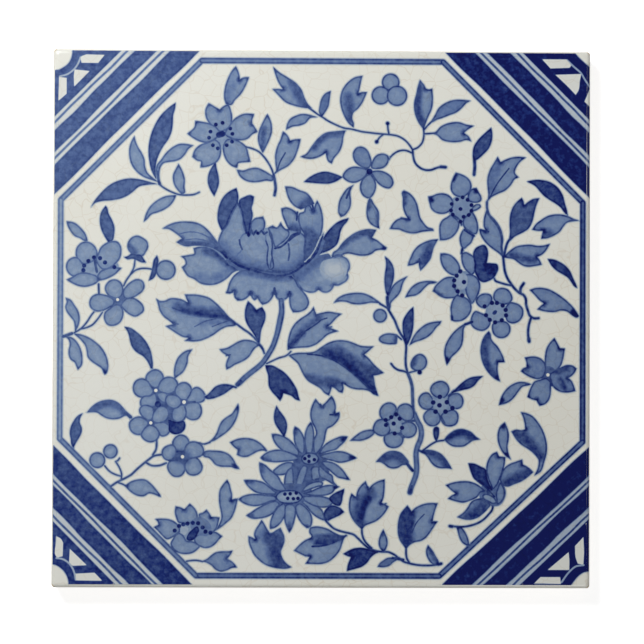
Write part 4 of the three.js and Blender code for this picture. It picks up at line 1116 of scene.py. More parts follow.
peony = [
    pale("-29,21.6 -28.2,25 -24.4,32 -21,26 -15,26 -10,25.4 -5,26 -1.4,30 -.9,23 -3,18.6 -6,14.6 -10,13 "
         "-15,13.2 -21,14.6 -26,17.6", rim=PALE),
    pen(1.6, "-26.4,16.6 -24,15 -21.5,14 -18,13.1 -14,12.5 -10.6,12.6 -7.6,13.6 -5.2,15.2", 0.7),
    pale("-10.5,37.7! -8.7,37.6 -6.5,36.7 -4.4,35.9 -3.1,34.5 -2.2,32.8! -4.4,31.9 -6,31.2! -7.9,32.2 "
         "-9.2,33.7 -10,35.6", dab(DARK, 2.6, "-3,33.6 -4.6,33.2 -5.6,32")),
    pale("-11.6,31.5! -10.2,31.8 -8.8,31.4 -7.4,30.6! -6.6,29 -6,26 -6,24.6 -8,24.6 -9.4,25.3! -10,26.5 "
         "-10.6,27.9 -11.3,29.7", dab(DARK, 2.6, "-8,26 -6.6,25")),
    pale("-4.8,16.8 -4.9,20 -5,24 -6.2,26 -6.8,28.2 -6.4,30.2 -5.2,30.6 -4.8,32 -4.1,32.9! -3.4,32.4 "
         "-2.5,30.8! -1.9,32.8 -1.4,33.8! -.6,32.3 .1,30 .3,27.5 0,25 -.6,22.8 -1.5,20.8 -2.8,18.9",
         dab(DARK, 3.6, "-4,24.4 -2.6,23.2 -2.6,21 -3.9,18.4"), dab(0.48, 2.4, "-1.2,27 -.9,24 -1.8,21")),
    pen(0.5, "-7.2,28.2 -7.1,29.6 -7,30.4"), pen(0.5, "-2.5,31 -2.6,32 -3,33"),
    wash(DARK, "-24.3,37.2! -26,36.4 -27.6,35.1 -28.9,32.9 -29.5,30.5 -29.5,27.9 -28.9,26.2 -28.3,25! "
         "-26.9,27 -26,29.2 -25,31.3 -23.9,33.2 -23.8,35.3"),
    pale("-29.4,21.5 -28.9,24 -28.3,25.2 -27,27 -26,29.4 -24.9,31.6 -23.8,33.3! -23,31.3 -22.3,29.2 "
         "-22,26.5 -21.2,24.3 -21.5,20 -21.5,15 -24,15.8 -26.4,17.4 -28.4,19.7"),
    wash(DARK, "-23.5,33.7 -22,34.7 -20.3,35.2 -19.3,34.8! -19.6,33 -20,31.5 -19.7,30 -19.8,28.6 "
         "-20.2,27.3 -20.4,25.5 -20.6,24! -21.4,24 -21.8,26 -22.4,28 -22.8,30.5 -23.4,32"),
    wash(PALE + 0.04, "-20.1,27.6 -19,28.7 -17.6,29 -16.7,29.2! -16.1,27.4 -16.4,25.6 -17.2,24.6 "
         "-19.6,24.6 -20.4,26"),
    pale("-14.6,14.2 -14.3,18 -14.4,22 -15,25.2 -12,25.6 -6.4,25 -4.9,23.8 -4.8,20 -5,16.6 -7.4,14 "
         "-10.6,13 -13,13.2"),
    pale("-22.9,20 -23.5,21.5 -23.2,23.1 -22.6,24.1 -21.6,24.6 -20.8,23.9 -19.6,25.2 -18.3,24.5 -17.2,25.4 "
         "-16,24.9 -15.7,22.7 -15.2,20.7 -15.3,18 -15.4,15.9 -14.6,14! -18.3,13.8 -20.9,14.5 -23.4,15.6 "
         "-25.2,16.8! -24,18.6", rim=0.62),
    pen(0.55, "-20.8,23.6! -20.1,25.4! -19.4,24! -18.7,25.3! -18,24.2! -17.2,25.2! -16.4,24.2! -15.6,24.8!"),
    *pips(0.9, "-20.8,23.9 -18.2,24.5"), pen(0.5, "-23.4,22.6 -23.1,21 -22.6,19.9"),
    pen(0.38, "-15.9,22.3 -15.3,20.7 -15.5,18 -15.4,15.9 -14.6,14.2 -13.9,14.6 -13.9,16.7 -14.3,18.8 "
        "-14,20.9 -14.3,24"),
    pen(0.48, "-9.5,21.5 -9.2,19 -9.5,16.9", DARK),
    pale("-15.3,25.9 -14,26.7! -12.9,26.1 -11.7,27.6! -11.1,26.5 -10,25.5 -9.4,25.2 -9.2,24.1 -10.3,22.5 "
         "-11.9,21.2 -13.2,20.4 -14,22 -14.5,24.1", dab(DARK, 1, "-14,26.4"), dab(DARK, 1, "-11.7,27.2")),
    pen(0.55, "-13.3,20.2 -11.6,20.7 -9.8,22.2 -8.4,24 -6.2,24.7"), pen(0.6, "-9.4,22.4 -8,23.6 -6.4,24.4"),
    wash(0.36, "-8.6,12.8! -7.5,11.4 -6.4,9.5 -5.3,8.3 -3.5,7.7 -2,7.8 -.9,8.5! .3,7.8 1.5,7.7 2.6,8.3 "
         "3.6,9.7! 4.7,9.7 5.9,10.3 7,11 7.6,12.2 7.3,13.3! 7.9,14.5 7.9,16 7.2,17.3 6,18 4.5,18.2 "
         "2.8,17.4! 2,18.6 0,18.4 -2,17.8 -4.5,16 -6.5,14.2",
         dab(PALE + 0.06, 5, "-5.5,12.4 -3,14 -1,16.4 1.2,17.6"), dab(PALE, 2.6, "-4.6,9.4 -1,9.4 1.4,9.8"),
         dab(0.68, 2.4, "-6.6,12 -4.4,14.2 -1.6,16.6 1,17.8"), rim=0.66),
    wash(0.3, "-.6,13.4 1,11.4 3.6,10.8 6,11.4 7.2,13 7.3,15.4 6.2,17.2 4.2,17.6 1.8,17.4 0,16.6 -.8,15",
         rim=0.34),
    wash(0.24, ".5,13.6 1.8,12.2 4,11.7 6,12.5 6.6,14.4 6,16 4.4,16.8 2.2,16.5 .8,15.6", rim=0.28),
    wash(0.18, "1.7,13.9 2.8,12.9 4.2,12.7 5.4,13.5 5.7,14.7 5.1,15.7 4,16 2.7,15.7 1.8,14.9", rim=0.22),
    pale("-27.1,7.5! -25.3,7.6 -24.8,7.9! -24.7,6.3 -23.9,5.4! -22.4,5.5 -20.7,6.6 -20.1,7.4! -19.8,6.2 "
         "-19,5.5 -18.2,6.1! -17.5,5 -16.8,4.2! -15.3,4.8 -14,6.2 -13.4,7.4! -12.9,6.2 -12,5.5 -10.6,5.6 "
         "-9.5,6.4 -9.2,7.2! -9.2,5.5 -8.9,3.6 -8.1,2.1! -6,2.3 -4.4,3.1 -3.6,4.9 -4.1,6.5 -5.3,8.2 "
         "-6.4,9.4 -7.4,11.2 -8.6,12.6! -11,12.4 -14,12.3 -17,13 -19.5,13.8 -21.5,14.2 -23.5,13.6 -25.3,12 "
         "-26.2,10.4 -26.6,9", dab(0.7, 1.7, "-23.6,13.8 -20,13.2 -16,12.2 -12,11.8 -8.6,12.2")),
    pen(0.68, "-13.4,8.9 -13.4,7.4"), pen(0.68, "-20.1,7.9 -20.1,7.1"), pen(0.48, "-24.7,8.2 -24.7,7.2"),
    pen(0.58, "-9.1,7.9 -9.2,6.6"), pen(0.58, "-6.2,9.2 -5.6,8.5", DARK), pen(0.48, "-26.9,7.7 -26,7.6"),
    pen(0.6, "-27.9,19.3 -27,18.2 -24.5,16 -22,14.8 -19.5,14 -17,13.2 -14,12.6 -11,12.6 -8.5,13.2 "
        "-6.5,14.4 -4.8,16 -3,17.7 -1.7,19.7 -.9,21.9 .1,24.3"),
    pen(0.75, "-25.4,16.6 -23,15.1 -20.6,14.3", 0.9), pen(0.65, "-9.6,12.9 -7.5,13.8 -5.6,15.3", 0.9),
    pen(1.1, "-3.6,16.2 -1.7,18 -.4,20.2 .3,22.4", 0.62),
    pen(0.6, "-4.5,15.9 -3,17.2 -1.5,19.2 -.7,21.4 .1,23.6", 0.86),
    pen(0.5, "-4.9,16.4 -3.5,17.6 -2.2,19.4 -1.4,21.2 -.7,22.9 .3,24.7", 0.26, rim=0.26),
]
# The foot of the cup is shaded where its petals turn under: those that reach no lower than the cup.
CUP_LOW = 12.5
FOOT = "-28.6,20 -26,17.4 -22.6,15.2 -19,14.2 -14,13.2 -10.6,13.2 -7.6,14.2 -5.4,16.2"
for petal in peony:
    if petal["tone"] == PALE and petal["row"][:, 1].min() > CUP_LOW:
        petal["dabs"] += (dab(0.62, 4.8, FOOT), dab(0.78, 1.4, FOOT))
print_spray("peony", peony)

# Below the peony: main stem and its great leaves
# The stem leans down to the left, and broad lobed leaves with dark midribs spread to both sides of it.
print_spray("stem_and_great_leaves", [
    wash(DARK, "-24.2,-19! -25.7,-18.5 -27,-18.3 -28.5,-18.4 -30,-19 -31.2,-20.2 -32.3,-21.3 -33.2,-21.8! "
         "-32.6,-22.4 -31,-22.4 -29.2,-21.8 -27.5,-21 -26,-19.9 -24.9,-19.2"),
    pale("-17.5,-7.3! -18.7,-6.3 -20.3,-5.8 -22,-5.7 -23.8,-6.3 -25.3,-7.2 -26.8,-8 -28.9,-8.4! -28.1,-9.3 "
         "-27,-10 -26.4,-10.3 -26.8,-11.6 -27.1,-13 -26.9,-14.1! -25.8,-13.6 -24.6,-12.8 -23,-12.1 "
         "-21.5,-11.3 -20.3,-10.2 -19.5,-8.9 -18.5,-7.8"),
    pen(0.35, "-27,-10.2 -25.8,-9.9"), pen(0.38, "-17.6,-7.2 -16.6,-8.6 -16.2,-9.5"),
    pen(1.4, "-11.5,5.5 -11.3,3 -11.8,0 -12.2,-2 -12.6,-4 -13.2,-6 -14,-8 -15.2,-10 -16.5,-12 -18.2,-13.6 "
        "-20,-15 -21.8,-16.5 -23.3,-18", 0.55, rim=0.76),
    pen(0.4, "-11,4.5 -10.8,2 -11.2,-.4 -11.8,-3 -12.6,-5.6 -13.4,-7.8 -14.6,-10 -16,-12.2"),
    pen(1.2, "-23,-17.6 -23.8,-18.4"), pen(0.5, "-24.2,-19.2 -25.5,-18.8"),
    pen(0.38, "-15.5,-12.4 -13.8,-11.6 -12,-10.8 -10.3,-10.3 -9.6,-9.9 -8.7,-9"),
    wash(DARK + 0.06, "-15.9,-12.9! -14,-13 -12.3,-13.8 -10.5,-15 -9,-16.6 -7.8,-18.3 -6.9,-20 -6.5,-21.7 "
         "-6.1,-22.9! -7.2,-22.6 -8.4,-21.6 -10,-21 -10.8,-20.8! -11.1,-21.9 -11.7,-23! -12.5,-22 "
         "-13.8,-20.6 -14.8,-19 -15,-17.3 -15.1,-15.6 -15.6,-14.2"),
    pale("-9.6,-8.5! -9.6,-6.5 -9.2,-4.5 -8.6,-2.7 -7.5,-1 -6,.3 -4.1,1.6 -2.9,2.7 -2.3,3.7! -1.9,2.5 "
         "-1.5,1.6! .1,2 2,2.3 4,2 5.7,1.7! 4.4,.7 3,-.8 1.8,-2! 3,-2.5 4.8,-3.2! 3,-3.7 1.5,-4.4 .2,-5.6 "
         "-1.6,-7 -3.5,-7.7 -6,-7.9 -8,-8.1", dab(0.7, 2, "-8.8,-7.4 -6.4,-4 -3.4,-1.4 -.6,.6"),
         dab(0.86, 1.4, "-9.2,-8 -7.4,-5.8 -5.2,-3.6")),
    pen(0.38, "-9.3,-8.3 -8.2,-6.5 -6.8,-5 -5,-3.5 -3,-2.2 -1,-.8 0,0 1.5,.5"), pen(0.35, "1.6,-2.1 2.8,-2"),
    pale("-9.5,-10! -7,-9.4 -4,-9.3 -2,-9 0,-7.7 2,-6.5 4.5,-5.8 7,-5.9 9,-6.5 11,-7.3 13,-7.5 14.8,-7.5! "
         "13.5,-8.7 12.2,-9.8! 13.5,-11 15,-12.7 16.3,-13.9 17.7,-15! 16.2,-15.5 14.8,-15.8! 15,-17 "
         "15.3,-18.7 15.7,-20 16.2,-21.5! 15,-21.2 13.6,-20.2 12,-19.8 10,-19.7 8.3,-19.3 7,-18.6 "
         "6.2,-18.1! 6.3,-19.5 6,-20.7! 5,-20.4 4,-19.5 3,-19! 2.6,-20.3 2.2,-21.5! 1,-20.8 -.2,-19.5 "
         "-2,-18.4 -3.8,-17.3 -5,-15.7 -5.9,-14 -6.7,-12.4 -8,-11.2",
         dab(DARK, 3.4, "1,-8.9 5,-9.4 8.5,-11.6 11.5,-13.6 15.4,-15"),
         dab(DARK, 2.6, "14,-16.6 14.4,-19.4"),
         dab(0.92, 2, "1.6,-9.7 4.4,-10.8 7.4,-12.8 9.8,-14.8 12,-16.8 14,-18.8 15.6,-20.8"),
         dab(DARK, 3, "-3.8,-16.6 0,-17.6 4,-17.9"), dab(MID, 2.6, "-1,-8.6 2.4,-7.8 4,-9")),
    pen(0.4, "-4,-9.7 0,-10.2 3,-11.2 6,-13 8.5,-14.8 10.5,-16.5 12.3,-18.3 14,-19.8 15.8,-21.3"),
    pale("-23.6,-23.8! -24.4,-25.2 -25.4,-26.7 -26.8,-27.6 -28.2,-28.8 -29,-30.3 -29.6,-32 -30.7,-33.7 "
         "-32,-34.8! -30.5,-34.4 -28.7,-33.3 -27,-32.1 -25.4,-30.5 -24.3,-28.7 -23.6,-26.8 -23.3,-25",
         dab(DEEP, 1.2, "-23.7,-24.2 -23.7,-25.2")),
    pen(0.38, "-31.5,-34.8 -33.5,-35.3 -34.5,-35"),
    wash(DARK, "-12.7,-24.4! -12,-25.6 -11,-26.9 -10.1,-28.3 -9.7,-30 -9.9,-31.6 -10.6,-33.4! -11.3,-32.2 "
         "-12.1,-31 -13,-29.5 -13.4,-27.8 -13.2,-26"),
    pale("-25.9,-34.8! -24.2,-34 -22.5,-33.6 -20.7,-33.6 -19,-34 -17.4,-34.9 -16.2,-36 -15,-37.5! "
         "-16.5,-37.1 -18,-37.4 -19.5,-38.2 -21,-38.9 -22.5,-38.9 -23.9,-38.3! -23.7,-37.4 -23.7,-36.9! "
         "-24.8,-36"),
])

# Right of the middle: long stem with two blossoms
# A stem thickens down to a cut end at the bottom, and carries two small blossoms, leaves, a berry and a bud.
print_spray("long_stem_and_leaves", [
    wash(0.68, "17.9,18! 18.2,16.5 18.2,15 17.9,13 17.8,11 18,9 18.4,7.3 18.8,6.6! 19.2,8 19.8,9.5 "
         "20.3,11.3 20.5,13 20.4,14.5 20,15.7 19.2,16.9"),
    pale("24.3,12.4! 22.8,11.7 21.3,10.8 20.2,9.8 19.5,8.6 18.8,7 18.4,5.8 18.5,4.3 18.9,2.8! 19.5,3.4 "
         "19.6,4.7 20.5,5.8 21.7,7 22.5,8.4 22.9,10 23.5,11.3"),
    pen(0.78, "18.6,6.5 18.7,5 19,3"),
    pale("3.4,4.8! 4.4,6 6,7 8,7.5 10,7.7 12,7.5 13.8,6.8 15.4,5.8 17,4.6! 15.8,4.8 14,4.9 12.3,4.6 "
         "10.5,4.4 8.5,4.6 7,5.1 5,5.2"),
    pen(0.48, "16.5,4.6 17.6,4 18.9,3.2"), *pips(3.9, "16.6,1.2", PALE, BERRY_RIM),
    pen(0.55, "18.9,3 19.8,1.5 20.8,-.2 21.5,-2 22.4,-3.8 23.4,-5.3 24,-7 24,-9 23.9,-11 24,-13 24.5,-15 "
        "25.3,-17 25.8,-19"),
    pen(0.8, "24.5,-15 25.3,-17 25.8,-19 25.9,-21 26,-23 26.1,-25 26.5,-27 27.3,-28.7", 0.74),
    pen(1.4, "26.4,-26.6 27.3,-28.7 28.2,-30.3 28.5,-32 28.2,-34 27.4,-36 27,-38 27.1,-40 27.2,-42 27,-44 "
        "26.3,-46 25.6,-47.8 25.3,-49", 0.5, rim=0.74),
    pen(0.6, "25.9,-47.2 25.3,-49"),
    wash(DARK, "26,3.7! 25,2.8 24,1.5 23.2,0 23,-2 23.2,-4 23.7,-5.8 24.1,-7.6! 24.9,-6 25.6,-4 26,-2 "
         "26.1,0 26.1,2"),
    pale("34,-.3! 32,-.5 30,-1 28.2,-2.2 26.8,-3.6 25.8,-5.2 24.9,-7.2! 26.5,-6.3 28.3,-5.7 30,-4.9 "
         "31.5,-3.6 32.6,-2.1 33.7,-1"),
    pale("16.3,-5.2 17.2,-4.3 18.8,-3.8 20.4,-3.9 21.5,-4.2 21.5,-5.6 21.3,-6.7 20,-6.9 18.3,-6.8 17,-6.4 "
         "16.3,-5.7", dab(DARK, 1.2, "21.1,-4 21.2,-6.6")),
    pen(0.38, "21.5,-4.5 22.7,-5.5"), pen(0.48, "19.8,-12.4 20.7,-13.5 21.9,-14.2 23.3,-14.5 24.2,-14.8"),
    pale("25.3,-12.8 25.7,-11.3 26.8,-10 28.2,-9.6 29.4,-10.3 30,-11.7 29.8,-13 28.8,-14.1 27.6,-14.5 "
         "26.3,-14.2 25.5,-13.6", dab(DARK, 1.4, "25.8,-12.8 26.6,-10.8")),
    pen(0.35, "25,-14.9 27.3,-14.3"), *pips(1.2, "27.9,-14.8"),
    wash(DARK, "32.5,-30.2! 33.3,-30.5 33.5,-32 33.2,-33.5 32.8,-34.5 32.2,-33.5 31.9,-32 32,-30.8"),
    pen(0.38, "36.5,-34 34.5,-34.2 32.8,-34.5 31,-35.5 29.7,-36.5 28.5,-37.3"),
    pale("28.3,-37.5! 29.5,-36.9 31,-36.9 32.7,-37.3 34.3,-38.2 35.5,-39.5 36.5,-41 37.2,-42.3! 35.7,-42.1 "
         "34,-42.1 32.5,-41.6 31.2,-40.4 30.3,-39 29.3,-38",
         dab(DARK, 2.6, "29.5,-37.2 32.7,-38 36.5,-41.6")),
    pen(0.6, "27.7,-37 30,-38"),
    pale("45.2,-33.9! 43.9,-33 42.8,-31.9 41.3,-31.2 39.8,-30.9 38.2,-31.2 36.8,-32 35.5,-33.2 35,-34! "
         "36,-35 37.3,-35.8 39,-36 40.7,-35.8 42,-35 43.3,-34.2 44.3,-34",
         dab(0.84, 2.6, "36,-32.9 39.8,-31.8 44,-33.6")),
    pale("42.6,-.6! 40.8,-1 39,-2.1 37.2,-3.8 36,-5.5 35.1,-7.5 34.9,-9.5 35.2,-11.3 35.6,-12.8! 36.2,-12 "
         "37,-10.5 38.4,-9.2 39.7,-7.5 40.2,-5.7 40.3,-3.8 40.5,-2.2 41.3,-1.2",
         dab(DEEP, 1.4, "35.5,-12.2 35.5,-11")),
    pen(0.68, "40.8,-1.2 42.8,-.5"),
    pale("15.3,-31.1! 13.3,-31.2 11.5,-31.7 10,-32.7 8.9,-33.6 8.2,-34.3! 9.5,-34.3 11.3,-34.3 13,-33.8 "
         "14.5,-32.9 15.3,-32"),
])

print_spray("stem_blossoms", [
    *pips(7.4, "20.8,-29.8", PALE, PALE),
    pale("20.8,-26.7 21.4,-25.4 20.7,-24 19.3,-23.5 17.7,-24.1 16.7,-25.6 16.7,-27 17.6,-28.3 19,-28.5 "
         "20.2,-27.8"),
    pale("21.6,-26.4 21.8,-25 22.9,-24 24.3,-23.8 25.6,-24.5 26.3,-26 26.2,-27.6 25.3,-28.6 23.6,-28.5 "
         "22.4,-27.5"),
    pale("17.4,-28.2 16,-28.5 15,-29.9 14.8,-31.3 15.8,-32.4 17.3,-32.9 18.9,-32.4 19.6,-31.3 19.3,-29.7"),
    pale("19,-32.3 18,-33 18,-34.5 18.9,-35.8 20.4,-36.3 21.9,-36 23,-35 23.3,-33.6 22.3,-32.5 20.8,-31.8"),
    pale("22.5,-31.5 23,-32.8 24.5,-33.4 26.1,-33 27,-31.8 27,-30.3 26,-29.2 24.5,-28.9 23,-29.5"),
    wash(0.36, "19.2,-28.6 20.6,-27.8 22.4,-28 23,-29.5 22.6,-31.4 20.8,-31.8 19.6,-31.2 19.2,-29.8",
         rim=0.38),
    pen(0.78, "22.3,-32.2 23.5,-33.2", DARK), pen(0.68, "24,-28.7 26.5,-28.6", DARK),
    *pips(1.2, "20.6,-29.4 19.9,-27.6 22.3,-28 18.3,-28.4 18.4,-29.8 23,-30.6 20.9,-32.2 21.3,-26.8"),
    *pips(6.6, "33.8,-24", PALE, PALE),
    pale("33,-22 31.7,-21.2 31,-19.8 31.5,-18.5 32.8,-17.6 34.4,-17.4 35.8,-18.3 36.3,-19.7 35.8,-21.2 "
         "34.6,-22.2"),
    pale("31.3,-21.8 30.3,-20.7 29,-20.8 27.9,-21.9 27.7,-23.4 28.5,-24.8 30,-25.4 31.2,-25.2 32,-23.8"),
    pale("31.3,-25.2 29.9,-25.9 29.1,-27.3 29.6,-28.9 31,-30 32.6,-29.9 33.7,-28.8 33.8,-27.3 32.9,-26"),
    pale("34,-27.2 34.2,-28.7 35.3,-29.9 36.7,-30.1 38.3,-29.5 38.9,-28 38.7,-26.5 37.6,-25.5 36,-25.8 "
         "34.8,-26.3"),
    pale("36.3,-21.6 37.3,-21 38.8,-20.8 40,-21.8 40.3,-23.3 39.6,-24.8 38.3,-25.2 37,-24.8 36,-23.3"),
    wash(0.36, "31.6,-22.4 33.6,-22 35.6,-22.2 36,-23.8 35.4,-25.6 33.4,-26.4 32,-25.2 31.6,-23.8",
         rim=0.38),
    pen(0.68, "34,-27.5 35,-29.3", DARK), pen(0.68, "36.2,-21.6 37.8,-20", DARK),
    *pips(1.3, "33.6,-24.2 33.7,-21.8 31.8,-23.4 35.7,-23.3 32.5,-26 35.3,-26 37.3,-25"),
], swell=0.12)

# Right edge: toothed flower and long leaves
# A flower with four toothed petals against the right-hand line, and long curved leaves below and beside it.
print_spray("right_flower_and_leaves", [
    wash(DARK, "45.9,-15.9! 44,-16 42.2,-16.4 40.5,-17.4 39,-18.7 37.7,-20 36.9,-20.8! 38.5,-20.3 "
         "40.3,-19.8 42,-19.4 43.5,-18.5 44.5,-17.2"),
    pale("47.5,-3.1! 46.5,-4.2 45.6,-6 45.2,-8 45.3,-10 45.8,-12 46.8,-14 48.1,-15.6 49.5,-16.8 "
         "50.8,-17.4! 50.4,-16 50.1,-14.5 50.1,-13 50.3,-12! 52.1,-11.9! 51.6,-10.3 50.8,-8.7 49.9,-7.3 "
         "48.9,-6.3 48.2,-5.2 48,-3.8", dab(DARK, 2.2, "47.3,-4 46.4,-8 46.8,-12 49,-15.6"),
         dab(DEEP, 1.2, "50.3,-17 50,-16.4")),
    pale("59.8,-18.2! 58.3,-17.7 56.5,-17.5 54.8,-18 53.2,-19 51.9,-20.5 51,-22.2 50.5,-24.1! 52,-23.8 "
         "53.8,-22.9 55,-21.7 56,-20.3 57.2,-18.9 58.8,-18.5", dab(DEEP, 1.2, "50.9,-23.6 51.6,-22.6")),
    pale("66.2,-5! 65,-6.3 64,-8 63.6,-10 63.5,-12 63.7,-13.8 65,-14.6 66.8,-14.3 68,-13 68.7,-11 69,-9.3 "
         "69.2,-8! 67.8,-7.9! 67.2,-6.8"),
    *pips(4.6, "64.4,-15.3", 0.66, 0.66),
    wash(PALE + 0.06, "63.6,-12.2 62.2,-10.8 60.5,-10.3 58.9,-10.4 57.8,-10.6! 58.3,-12 58.3,-13.3! "
         "57.2,-13.8 56.7,-14.5! 58.3,-15.6 60,-16.4 61.9,-16.7 63.2,-16 63.8,-14.5"),
    pale("64,-16.4 62.3,-16.8 60.5,-17.5 59.7,-18.8 59,-20.5 58.6,-21.8! 59.8,-22.4 61.2,-22.8! 61.7,-23.7 "
         "62.1,-24.3! 63.5,-23.9 64.7,-22.7 65.2,-21 65.3,-19 65.2,-17.4"),
    wash(PALE + 0.06, "64.9,-15.4 66.3,-14.3 68,-13.4 70,-12.7 71.5,-12.9 72.6,-13.7! 71.9,-15 71,-15.9 "
         "70.2,-16.4! 71,-17 71.7,-18.3 72.3,-20.1! 70,-20.5 68,-20.3 66.3,-19.3 65.3,-17.8 65,-16.5",
         dab(DARK, 1.4, "67,-14.8 70,-13.6"), dab(DARK, 1.4, "68,-16.5 69.2,-19.3")),
    pen(0.5, "65,-16.2 65.6,-18.5", DARK), *pips(1, "64.4,-15.5", 0),
    pale("52.2,-29! 51,-30 50.3,-31.7 50.2,-33.7 50.6,-35.5 51.3,-37 52.3,-38.4 54,-39.6! 53.3,-37.8 "
         "53,-36 53.3,-34 53.3,-32 52.8,-30.3", dab(DEEP, 1.2, "52,-29.4 51.8,-30.4"),
         dab(DEEP, 1.2, "52.6,-38.2 53.6,-39.2")),
    pale("56.8,-26.1! 58.3,-26.4 60,-27.2 61.5,-28.8 62.8,-30.8 63.7,-33 64.2,-35.3 64.2,-37.5 63.5,-40.3 "
         "62.5,-43 60.7,-44.2! 61.7,-42 61.9,-39.8 60.6,-38 58.9,-36.6 57,-35.4 55.6,-34 54.1,-31.6! "
         "55.5,-31.1 57,-31.3 58,-31! 57.9,-29.5 57.5,-27.8",
         dab(DARK, 2.8, "55.2,-32.6 58,-33.6 60.6,-36.2 62.2,-38.6")),
])

# Lower left: berries, small blossom and toothed flower
# Two berries on forked stalks, a five-petalled blossom, and a flower with torn petal ends over the bottom
# line, all drawn and washed like the sprays above them.
lower_left = [
    pen(0.38, "-57.1,-39.3 -57.6,-40 -58.2,-40.3"),
    pen(0.38, "-58.2,-40.3 -57.1,-42.1 -56.5,-44.1 -56.6,-45.2"),
    pen(0.38, "-61.3,-41.5 -60,-43 -58.2,-44 -56.8,-44.4"),
    pen(0.48, "-59.7,-47.4 -57.9,-46.2 -55.9,-45.2 -53.8,-44 -52.1,-42.4 -50.6,-41.1 -49.1,-39.9 "
        "-47.4,-38.7 -45.3,-38.3"),
    pen(0.48, "-49.7,-40.5 -48,-41.4 -45.9,-41.4 -43.9,-40.7"),
    pen(0.48, "-47.7,-38.4 -46.8,-36.8 -46.6,-34.8"), *pips(4.1, "-59.7,-37.4", PALE, BERRY_RIM),
    *pips(4.5, "-63.4,-39.9", PALE, BERRY_RIM),
    pale("-55.3,-47.2! -53.8,-46.2 -51.8,-45.6 -50,-45.6 -48.3,-46.8 -46.8,-48.5 -45.5,-50.2! -47.1,-49.4 "
         "-48.8,-49.1 -50.3,-49.9 -52.1,-49.7 -53.8,-48.7"),
    pen(0.38, "-57.3,-46.3 -56,-46.8 -55.4,-47.2"),
    pale("-33.7,-37.9! -32.3,-37.4 -30.5,-37.4 -28.8,-37.5 -27.2,-37.9 -25.8,-38.8 -24.9,-40 -24.2,-41.3 "
         "-23.3,-42.2! -24.3,-42 -25.3,-41.6 -27,-41.5 -28.7,-41.4 -29.9,-40.9 -30.8,-39.8 -31.8,-39 "
         "-33,-38.7", dab(DEEP, 1, "-24,-41.9 -24.8,-41.2")),
    wash(DARK, "-41.5,-37.5 -38.5,-37 -35.5,-38.8 -34.8,-39.5 -38,-40.5 -38.5,-42 -41,-40.5 -43.5,-40"),
    pale("-42,-35 -41.2,-33.5 -39.8,-32.8 -38.4,-33.3 -37.6,-34.5 -37.9,-36 -39,-37.2 -40.7,-37 "
         "-41.6,-36.2"),
    pale("-45,-38 -44.7,-36.8 -43.5,-35.9 -42,-35.7 -41.2,-36.8 -41.3,-38.3 -42.2,-39.5 -43.8,-39.7"),
    pale("-43.4,-41.5 -42.9,-43.2 -41.7,-44.3 -40,-44.3 -38.9,-43.2 -38.8,-41.5 -40,-40.3 -41.8,-40.1 "
         "-43,-40.5"),
    pale("-38,-35.5 -36.8,-34.8 -35,-35 -33.8,-36 -33.4,-37.4 -34,-38.5 -35.5,-39 -37,-39.1 -38.2,-38.3 "
         "-38.6,-37"),
    pale("-38,-40.3 -37,-39.5 -35.5,-39.3 -34.4,-40.3 -33.8,-41.8 -34.4,-43.3 -35.8,-44 -37.3,-43.8 "
         "-38.3,-42.6 -38.5,-41.2"),
    *pips(1.9, "-39.3,-38.9", DARK), *pips(1, "-39.3,-38.9", 0),
]
# The five petals of the blossom darken towards its eye.
for petal in lower_left[-7:-2]:
    petal["dabs"] += (dab(0.72, 4, "-39.6,-38.9 -39,-38.9"),)
print_spray("berries_and_blossom_lower_left", lower_left, swell=0.25)

